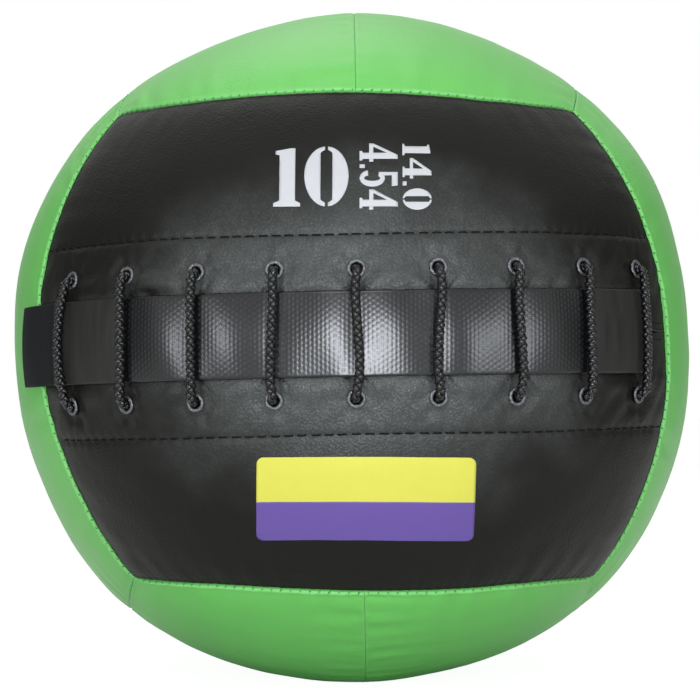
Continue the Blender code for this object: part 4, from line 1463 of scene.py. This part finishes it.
TIMES = {"operation": "MULTIPLY"}
TIMES_PLUS = {"operation": "MULTIPLY_ADD"}
LARGER = {"operation": "MAXIMUM"}
LENGTH = {"operation": "LENGTH"}
SOFT_STEP = {"interpolation_type": "SMOOTHSTEP"}
OF_COLOURS = {"data_type": "RGBA"}
ROUND_CELLS = {"feature": "SMOOTH_F1"}
WHITE = (1.0, 1.0, 1.0, 1.0)
BLACK = (0.0, 0.0, 0.0, 1.0)


def feed(node, **inputs):
    """Sets a node's inputs, each to a value or from another node's socket.

    An input goes by its name, with _ for a space, or by i and its number.
    """
    for name, value in inputs.items():
        socket = node.inputs[int(name[1:])] if name[0] == "i" else node.inputs[name.replace("_", " ")]
        if isinstance(value, bpy.types.NodeSocket):
            node.id_data.links.new(value, socket)
        else:
            socket.default_value = value


def put(tree, kind, settings=None, out=0, **inputs):
    """Adds a node with its settings and links, and gives back one of its outputs."""
    made = tree.nodes.new("ShaderNode" + kind)
    for name, value in (settings or {}).items():
        setattr(made, name, value)
    feed(made, **inputs)
    return made.outputs[out]


def material(fill):
    """Turns a function that fills a tree and its shader into one that makes that material only once."""
    @functools.wraps(fill)
    def make(*which):
        name = "_".join((fill.__name__, *which))
        made = bpy.data.materials.get(name)
        if made is None:
            made = bpy.data.materials.new(name)
            made.use_nodes = True
            fill(made.node_tree, made.node_tree.nodes["Principled BSDF"], *which)
        return made
    return make


def toned(base, share, lift=(0.0, 0.0, 0.0)):
    """A colour times a share and lifted, with its alpha."""
    return tuple(min(1.0, share * c + rise) for c, rise in zip(base, lift)) + (1.0,)


def tinted(tree, base, amount, mask):
    """A colour that goes from a little darker to a little lighter by a mask."""
    darker, lighter = toned(base, 1 - amount), toned(base, 1 + amount)
    return put(tree, "Mix", OF_COLOURS, out=2, i0=mask, i6=darker, i7=lighter)


@material
def coated_fabric(tree, shader, which):
    """Polyurethane-coated fabric, calendered with a fine pebble grain: satin, with a mottled sheen that on
    the black is partly a painted sheen in its colour.

    The pebbles are about a millimetre across, low and round, and the coating is a little uneven in gloss.
    """
    place = put(tree, "TexCoord", out="Object")
    pebbles = put(tree, "TexVoronoi", ROUND_CELLS, Vector=place, Scale=1 / PEBBLE, Smoothness=0.6)
    fine = put(tree, "TexNoise", Vector=place, Scale=1 / 0.0006, Detail=2.0)
    cloud = put(tree, "TexNoise", Vector=place, Scale=1 / 0.035, Detail=4.0)
    grain = put(tree, "Math", TIMES_PLUS, i0=fine, i1=0.35, i2=pebbles)
    if which == "green":
        skin, gloss, depth, shine = green_coating(tree, place, cloud)
    else:
        skin, gloss, depth, shine = black_coating(tree, place, cloud, pebbles)
    bump = put(tree, "Bump", {"invert": True}, Strength=depth, Distance=0.00030, Height=grain)
    feed(shader, Base_Color=skin, Roughness=gloss, Normal=bump, IOR=1.45, Specular_IOR_Level=shine)


def green_coating(tree, place, cloud):
    """Colour, roughness, depth of grain and shine of the green coating, with a painted highlight along the
    crests of its rolled rims.
    """
    base = colours().green
    rim = put(tree, "Attribute", {"attribute_name": "rim_wear"}, out="Fac")
    patchy = put(tree, "TexNoise", Vector=place, Scale=1 / 0.0025, Detail=1.0)
    # The painted highlight along the rims' crests, patchy, which mixes the skin towards a pale green.
    rubbed = put(tree, "Math", TIMES, i0=rim, i1=patchy)
    skin = put(tree, "Mix", OF_COLOURS, out=2, i0=rubbed, i6=tinted(tree, base, 0.06, cloud),
               i7=toned(base, 0.86, (0.14, 0.14, 0.14)))
    gloss = put(tree, "MapRange", i0=cloud, i3=0.41, i4=0.51)
    return skin, gloss, 0.30, 0.48


def black_coating(tree, place, cloud, pebbles):
    """Colour, roughness, depth of grain and shine of the black coating.

    It is glossier round the lacing, and paler there with a painted sheen that is brightest on the pebbles'
    tops as painted highlights; painted shade darkens its creases.
    """
    base = colours().black
    # The mask of the painted sheen round the lacing, which also makes the fabric glossier and its grain
    # deeper there.
    sheen_and_polish = handled(tree, place, cloud)
    mottle = put(tree, "TexNoise", Vector=place, Scale=1 / 0.0045, Detail=3.0)
    speckle = put(tree, "MapRange", i0=mottle, i1=0.32, i2=0.68, i3=0.86, i4=1.10)
    # Painted highlights on the pebbles' tops, which lighten the painted sheen there.
    highlit_tops = put(tree, "MapRange", i0=pebbles, i1=0.10, i2=0.50, i3=1.22, i4=0.78)
    # Painted shade in the creases round the lacing, which takes the painted sheen away there.
    crease = put(tree, "Attribute", {"attribute_name": "crease"}, out="Fac")
    unshaded = put(tree, "Math", TIMES_PLUS, i0=crease, i1=-0.9, i2=1.0)
    painted_sheen = put(tree, "Math", TIMES, i0=put(tree, "Math", TIMES, i0=sheen_and_polish, i1=speckle),
                    i1=put(tree, "Math", TIMES, i0=unshaded, i1=highlit_tops))
    # The pale, cool end of this mix is the painted sheen, tinted like the lamps' light.
    skin = put(tree, "Mix", OF_COLOURS, out=2, i0=painted_sheen, i6=toned(base, 1.0),
               i7=toned(base, 20.5, (0.0, 0.006, 0.037)))
    polish = put(tree, "Math", TIMES_PLUS, i0=sheen_and_polish, i1=-0.20, i2=0.43)
    gloss = put(tree, "Math", TIMES_PLUS, i0=cloud, i1=0.10, i2=polish)
    depth = put(tree, "Math", TIMES_PLUS, i0=sheen_and_polish, i1=0.60, i2=0.50)
    return skin, gloss, depth, 0.205


def handled(tree, place, cloud):
    """How glossy the black fabric is and how strong its painted sheen, from 0 to 1: most round the lacing."""
    lacing = (0.004, CENTRE[1] - sizes().depth / 2, CENTRE[2])
    full_sheen_reach, no_sheen_reach = 0.055, 0.145
    middle = put(tree, "VectorMath", {"operation": "SUBTRACT"}, i0=place, i1=lacing)
    spread = put(tree, "VectorMath", TIMES, i0=middle, i1=(0.75, 1.0, 1.2))
    away = put(tree, "VectorMath", LENGTH, out="Value", i0=spread)
    uneven = put(tree, "Math", TIMES_PLUS, i0=cloud, i1=0.06, i2=away)
    return put(tree, "MapRange", SOFT_STEP, i0=uneven, i1=full_sheen_reach, i2=no_sheen_reach, i3=1.0, i4=0.0)


@material
def embossed_vinyl(tree, shader):
    """Plasticised vinyl with staggered bumps pressed into it: glossy, so each bump catches the light.

    The bumps' tops are painted paler than the rest, as painted highlights.
    """
    vinyl = colours().vinyl
    place = put(tree, "TexCoord", out="Object")
    cloud = put(tree, "TexNoise", Vector=place, Scale=1 / 0.012, Detail=3.0)
    fine = put(tree, "TexNoise", Vector=place, Scale=1 / 0.0005, Detail=1.0)
    bump = put(tree, "Bump", Strength=0.12, Distance=0.0001, Height=fine)
    gloss = put(tree, "MapRange", i0=cloud, i3=0.22, i4=0.30)
    # Painted highlights on the bumps' tops, patchy with the cloud.
    highlit_tops = put(tree, "Attribute", {"attribute_name": "bump_top"}, out="Fac")
    painted_sheen = put(tree, "Math", TIMES, i0=highlit_tops, i1=cloud)
    skin = put(tree, "Mix", OF_COLOURS, out=2, i0=painted_sheen, i6=toned(vinyl, 0.5), i7=toned(vinyl, 3.3))
    feed(shader, Base_Color=skin, Roughness=gloss, Normal=bump, IOR=1.5, Specular_IOR_Level=0.46)


@material
def rubbed_vinyl(tree, shader):
    """The vinyl where its bumps are rubbed flat, near the strip's ends: dull, with faint upright streaks."""
    place = put(tree, "TexCoord", out="Object")
    streaks = put(tree, "Mapping", Vector=place, Scale=(260.0, 260.0, 40.0))
    scuffs = put(tree, "TexNoise", Vector=streaks, Scale=1.0, Detail=3.0)
    gloss = put(tree, "MapRange", i0=scuffs, i3=0.34, i4=0.56)
    bump = put(tree, "Bump", Strength=0.25, Distance=0.0002, Height=scuffs)
    scuffed = [share * c for share, c in zip((3.6, 3.3, 2.7), colours().vinyl)]
    feed(shader, Base_Color=tinted(tree, scuffed, 0.5, scuffs), Roughness=gloss, Normal=bump, IOR=1.5,
         Specular_IOR_Level=0.24)


@material
def strip_backing(tree, shader):
    """The strip's bare backing fabric, where no vinyl covers it: black and matt, with a faint woven line."""
    place = put(tree, "TexCoord", out="Object")
    streaks = put(tree, "Mapping", Vector=place, Scale=(900.0, 900.0, 60.0))
    weave = put(tree, "TexNoise", Vector=streaks, Scale=1.0, Detail=2.0)
    bump = put(tree, "Bump", Strength=0.25, Distance=0.0002, Height=weave)
    backing = [2.2 * c for c in colours().vinyl]
    feed(shader, Base_Color=tinted(tree, backing, 0.15, weave), Normal=bump, Roughness=0.7,
         Specular_IOR_Level=0.08)


@material
def braided_nylon_cord(tree, shader):
    """Nylon cord braided from bundles of filament: matt, with a soft shine along each bundle."""
    place = put(tree, "TexCoord", out="UV")
    along = put(tree, "Mapping", Vector=place, Scale=(9.0, 300.0, 1.0), Rotation=(0, 0, 0.02))
    yarn = put(tree, "TexNoise", Vector=along, Scale=1.0, Detail=1.0)
    bump = put(tree, "Bump", Strength=0.35, Distance=0.0002, Height=yarn)
    feed(shader, Base_Color=tinted(tree, colours().cord, 0.25, yarn), Normal=bump, Roughness=0.26,
         Specular_IOR_Level=0.46)


@material
def black_enamelled_brass(tree, shader):
    """Brass pressed to shape and enamelled black: glossy, with small dents that break up its highlights."""
    place = put(tree, "TexCoord", out="Object")
    dents = put(tree, "TexNoise", Vector=place, Scale=1 / 0.0016, Detail=2.0)
    bump = put(tree, "Bump", Strength=0.8, Distance=0.0009, Height=dents)
    gloss = put(tree, "MapRange", i0=dents, i1=0.3, i2=0.7, i3=0.30, i4=0.60)
    feed(shader, Base_Color=tinted(tree, colours().eyelet, 0.6, dents), Roughness=gloss, Normal=bump,
         Metallic=0.9)


@material
def sewing_thread(tree, shader, which):
    """Bonded polyester thread, twisted from three plies: matt with a slight sheen."""
    place = put(tree, "TexCoord", out="Object")
    plies = put(tree, "TexNoise", Vector=place, Scale=1 / 0.0007, Detail=2.0)
    bump = put(tree, "Bump", Strength=0.3, Distance=0.0002, Height=plies)
    feed(shader, Base_Color=tinted(tree, getattr(colours(), which), 0.25, plies), Normal=bump, Roughness=0.62,
         Specular_IOR_Level=0.12 if which == "black_thread" else 0.35)


@material
def print_film(tree, shader, which):
    """Heat-pressed print film: even and satin, and the pebbles of the fabric show through it faintly."""
    place = put(tree, "TexCoord", out="Object")
    pebbles = put(tree, "TexVoronoi", ROUND_CELLS, Vector=place, Scale=1 / PEBBLE)
    bump = put(tree, "Bump", Strength=0.08, Distance=0.0002, Height=pebbles)
    cloud = put(tree, "TexNoise", Vector=place, Scale=1 / 0.006, Detail=3.0)
    feed(shader, Base_Color=tinted(tree, getattr(colours(), which), 0.03, cloud), Normal=bump, Roughness=0.45,
         Specular_IOR_Level=0.3)


@material
def woven_canvas(tree, shader, which):
    """Plain-woven cotton canvas: matt, with a visible over and under."""
    thread_spacing = 0.0008
    repeats_per_scale = math.pi / 10  # a wave texture repeats every 2 pi / 20 of its scale
    place = put(tree, "TexCoord", out="Object")
    warp, weft = (put(tree, "TexWave", {"bands_direction": direction}, out=1, Vector=place,
                      Scale=repeats_per_scale / thread_spacing, Distortion=0.6, Detail=1.0)
                  for direction in ("X", "Z"))
    weave = put(tree, "Math", TIMES, i0=warp, i1=weft)
    bump = put(tree, "Bump", Strength=0.5, Distance=0.0003, Height=weave)
    feed(shader, Base_Color=tinted(tree, getattr(colours(), which), 0.18, weave), Normal=bump, Roughness=0.9)


@material
def open_cell_foam(tree, shader):
    """Polyurethane foam cut from a block: matt, with open cells about 2 mm across."""
    place = put(tree, "TexCoord", out="Object")
    cells = put(tree, "TexVoronoi", {"feature": "DISTANCE_TO_EDGE"}, Vector=place, Scale=1 / 0.002)
    bump = put(tree, "Bump", Strength=0.6, Distance=0.0006, Height=cells)
    feed(shader, Base_Color=tinted(tree, colours().foam, 0.12, cells), Normal=bump, Roughness=0.95)


@material
def polyester_fibre_fill(tree, shader):
    """Crimped polyester fibre, teased loose: matt and cloudy, with strands that run every way."""
    place = put(tree, "TexCoord", out="Object")
    strands = put(tree, "TexNoise", Vector=place, Scale=1 / 0.004, Detail=6.0, Distortion=3.0)
    bump = put(tree, "Bump", Strength=0.7, Distance=0.0015, Height=strands)
    feed(shader, Base_Color=tinted(tree, colours().fibre, 0.08, strands), Normal=bump, Roughness=0.98,
         Sheen_Weight=0.2)


@material
def dried_sand(tree, shader):
    """Dried silica sand: matt, speckled light and dark. Its grains are drawn coarse, 0.8 mm, so they show."""
    place = put(tree, "TexCoord", out="Object")
    grains = put(tree, "TexVoronoi", Vector=place, Scale=1 / 0.0008)
    bump = put(tree, "Bump", Strength=0.8, Distance=0.0005, Height=grains)
    feed(shader, Base_Color=tinted(tree, colours().sand, 0.3, grains), Normal=bump, Roughness=0.95)


# Stage

def background_rays(tree):
    """1 for the rays that show the background: those of the camera, and reflected or transmitted ones."""
    camera, glossy, transmitted = (put(tree, "LightPath", out=f"Is {kind} Ray")
                                   for kind in ("Camera", "Glossy", "Transmission"))
    return put(tree, "Math", LARGER, i0=put(tree, "Math", LARGER, i0=camera, i1=glossy), i1=transmitted)


@material
def matt_studio_paper(tree, shader):
    """Seamless paper, matt: mid grey to the light, and white where the camera or a reflection sees it.

    Reflections see it dimmer close to the ball, because the ball shades it there.
    """
    grey, white_level = 0.42, 0.930
    shade_reach, open_reach = 0.03, 0.20
    away = put(tree, "VectorMath", LENGTH, out="Value", i0=put(tree, "TexCoord", out="Object"))
    open_share = put(tree, "MapRange", SOFT_STEP, i0=away, i1=shade_reach, i2=open_reach)
    open_share = put(tree, "Math", LARGER, i0=open_share, i1=put(tree, "LightPath", out="Is Camera Ray"))
    shown = put(tree, "Math", TIMES, i0=background_rays(tree), i1=open_share)
    level = put(tree, "Math", TIMES, i0=shown, i1=white_level)
    feed(shader, Base_Color=(grey, grey, grey, 1.0), Roughness=0.9, Specular_IOR_Level=0.0,
         Emission_Color=WHITE, Emission_Strength=level)


@material
def grey_card(tree, shader):
    """Card that gives off an even mid grey and mirrors nothing."""
    feed(shader, Base_Color=BLACK, Roughness=1.0, Specular_IOR_Level=0.0, Emission_Color=WHITE,
         Emission_Strength=0.25)


def make_floor():
    bpy.ops.object.select_all(action="DESELECT")
    bpy.ops.mesh.primitive_plane_add(size=30.0)
    floor = bpy.context.object
    floor.name = "studio_floor"
    floor.data.materials.append(matt_studio_paper())


def make_cards():
    """Grey cards beside the ball, which only its shine shows: they keep its left and right sides dark."""
    for label, side in SIDES:
        bpy.ops.object.select_all(action="DESELECT")
        bpy.ops.mesh.primitive_plane_add(size=1.0, location=(side * 1.05, 0.45, 0.46),
                                         rotation=(0.0, math.pi / 2, 0.0))
        card = bpy.context.object
        card.name = f"{label}_card"
        card.scale = (0.9, 1.9, 1.0)
        card.data.materials.append(grey_card())
        card.visible_camera = False
        card.visible_diffuse = False
        card.visible_transmission = False
        card.visible_shadow = False


def make_world():
    """A white backdrop that lights the ball only dimly."""
    world = bpy.data.worlds.new("studio")
    bpy.context.scene.world = world
    world.use_nodes = True
    tree = world.node_tree
    level = put(tree, "MapRange", i0=background_rays(tree), i3=0.17, i4=1.0)
    feed(tree.nodes["Background"], Strength=level, Color=WHITE)


def make_lamp(name, place, size, power, tint=(1.0, 1.0, 1.0)):
    """A round softbox that points at the ball's middle."""
    lamp = bpy.data.lights.new(name, "AREA")
    lamp.color = tint
    lamp.shape = "DISK"
    lamp.size = size
    lamp.energy = power
    holder = add_to_scene(name, lamp)
    holder.location = place
    aim = Vector(CENTRE) - Vector(place)
    holder.rotation_euler = aim.to_track_quat("-Z", "Y").to_euler()
    holder.visible_camera = False


def make_lamps():
    """Softboxes: one behind the camera, one above it, one at each side of it, and one above the ball."""
    cool = (0.94, 0.98, 1.05)
    make_lamp("front_softbox", (0.0, -1.9, 0.125), 0.50, 21.6, cool)
    make_lamp("high_softbox", (-0.05, -1.25, 0.98), 0.50, 3.9, cool)
    make_lamp("left_softbox", (-1.02, -1.25, 0.20), 0.34, 3.8, cool)
    make_lamp("right_softbox", (1.02, -1.25, 0.20), 0.34, 3.4, cool)
    make_lamp("overhead_softbox", (-0.15, 0.55, 1.60), 1.0, 4.8)


def make_camera():
    """The camera at the photograph's angle: a little below the ball's middle, 1.03 m away."""
    distance = 1.031
    azimuth, elevation = math.radians(-0.47), math.radians(-1.57)
    focal_px, frame_px, pan_px, tilt_px = 1905.0, 700.0, 3.2, 1.5
    from_ball = Vector((math.sin(azimuth) * math.cos(elevation), -math.cos(azimuth) * math.cos(elevation),
                        math.sin(elevation)))
    data = bpy.data.cameras.new("studio_camera")
    data.sensor_width = 36.0
    data.lens = data.sensor_width * focal_px / frame_px
    camera = add_to_scene("studio_camera", data)
    camera.location = Vector(CENTRE) + from_ball * distance
    aim = (-from_ball).to_track_quat("-Z", "Y")
    pan, tilt = math.atan2(pan_px, focal_px), math.atan2(tilt_px, focal_px)
    camera.rotation_mode = "QUATERNION"
    camera.rotation_quaternion = (aim @ Vector((-pan, -tilt, -1.0))).to_track_quat("-Z", "Y")
    bpy.context.scene.camera = camera


# Operators

class WALL_BALL_OT_stage(bpy.types.Operator):
    """Make the floor, the cards, the light and the camera"""

    bl_idname = "wall_ball.stage"
    bl_label = "Stage"

    def execute(self, context):
        make_floor()
        make_cards()
        make_world()
        make_lamps()
        make_camera()
        return {"FINISHED"}


class WALL_BALL_OT_skin(bpy.types.Operator):
    """Make the nine sewn panels"""

    bl_idname = "wall_ball.skin"
    bl_label = "Skin"

    def execute(self, context):
        make_front_skins()
        make_back_skin()
        make_side_skins()
        make_cap_skins()
        return {"FINISHED"}


class WALL_BALL_OT_facings(bpy.types.Operator):
    """Make the canvas behind the slit's edges"""

    bl_idname = "wall_ball.facings"
    bl_label = "Facings"

    def execute(self, context):
        make_facings()
        return {"FINISHED"}


class WALL_BALL_OT_strip(bpy.types.Operator):
    """Make the embossed strip over the slit"""

    bl_idname = "wall_ball.strip"
    bl_label = "Cover strip"

    def execute(self, context):
        make_strip()
        return {"FINISHED"}


class WALL_BALL_OT_eyelets(bpy.types.Operator):
    """Make the pressed eyelets"""

    bl_idname = "wall_ball.eyelets"
    bl_label = "Eyelets"

    def execute(self, context):
        make_eyelets()
        return {"FINISHED"}


class WALL_BALL_OT_lacing(bpy.types.Operator):
    """Make the braided cord and its knots"""

    bl_idname = "wall_ball.lacing"
    bl_label = "Lacing"

    def execute(self, context):
        make_lacing()
        return {"FINISHED"}


class WALL_BALL_OT_topstitching(bpy.types.Operator):
    """Sew the long rows and the slit's ends"""

    bl_idname = "wall_ball.topstitching"
    bl_label = "Topstitching"

    def execute(self, context):
        make_topstitching()
        make_slit_bars()
        return {"FINISHED"}


class WALL_BALL_OT_seam_stitches(bpy.types.Operator):
    """Sew the seams between the panels"""

    bl_idname = "wall_ball.seam_stitches"
    bl_label = "Seam stitches"

    def execute(self, context):
        make_seam_stitches()
        return {"FINISHED"}


class WALL_BALL_OT_numbers(bpy.types.Operator):
    """Print the weights and the width as plain numbers"""

    bl_idname = "wall_ball.numbers"
    bl_label = "Numbers"

    def execute(self, context):
        make_number()
        return {"FINISHED"}


class WALL_BALL_OT_label(bpy.types.Operator):
    """Print the plain label"""

    bl_idname = "wall_ball.label"
    bl_label = "Label"

    def execute(self, context):
        make_label()
        return {"FINISHED"}


class WALL_BALL_OT_filling(bpy.types.Operator):
    """Make the foam, the stuffing, the weight bag and its sand"""

    bl_idname = "wall_ball.filling"
    bl_label = "Filling"

    def execute(self, context):
        make_filling()
        return {"FINISHED"}


MAKING_STEPS = (
    WALL_BALL_OT_stage,
    WALL_BALL_OT_skin,
    WALL_BALL_OT_facings,
    WALL_BALL_OT_strip,
    WALL_BALL_OT_eyelets,
    WALL_BALL_OT_lacing,
    WALL_BALL_OT_topstitching,
    WALL_BALL_OT_seam_stitches,
    WALL_BALL_OT_numbers,
    WALL_BALL_OT_label,
    WALL_BALL_OT_filling,
)


class WALL_BALL_PT_sidebar(bpy.types.Panel):
    """The ball's sizes, colours and making steps"""

    bl_label = "Wall Ball"
    bl_space_type = "VIEW_3D"
    bl_region_type = "UI"
    bl_category = "Wall Ball"

    def draw(self, context):
        for step in MAKING_STEPS:
            self.layout.operator(step.bl_idname)
        for group in (context.scene.wall_ball_sizes, context.scene.wall_ball_colours):
            box = self.layout.box()
            for name in group.__annotations__:
                box.prop(group, name)


CLASSES = (WallBallSizes, WallBallColours, *MAKING_STEPS, WALL_BALL_PT_sidebar)


def register():
    for each in CLASSES:
        bpy.utils.register_class(each)
    bpy.types.Scene.wall_ball_sizes = bpy.props.PointerProperty(type=WallBallSizes)
    bpy.types.Scene.wall_ball_colours = bpy.props.PointerProperty(type=WallBallColours)


def unregister():
    del bpy.types.Scene.wall_ball_colours
    del bpy.types.Scene.wall_ball_sizes
    for each in reversed(CLASSES):
        bpy.utils.unregister_class(each)


def main():
    register()
    bpy.context.scene.view_settings.view_transform = "Standard"
    bpy.ops.wall_ball.stage()
    bpy.ops.wall_ball.skin()
    bpy.ops.wall_ball.facings()
    bpy.ops.wall_ball.strip()
    bpy.ops.wall_ball.eyelets()
    bpy.ops.wall_ball.lacing()
    bpy.ops.wall_ball.topstitching()
    bpy.ops.wall_ball.seam_stitches()
    bpy.ops.wall_ball.numbers()
    bpy.ops.wall_ball.label()
    bpy.ops.wall_ball.filling()


if __name__ == "__main__":
    main()
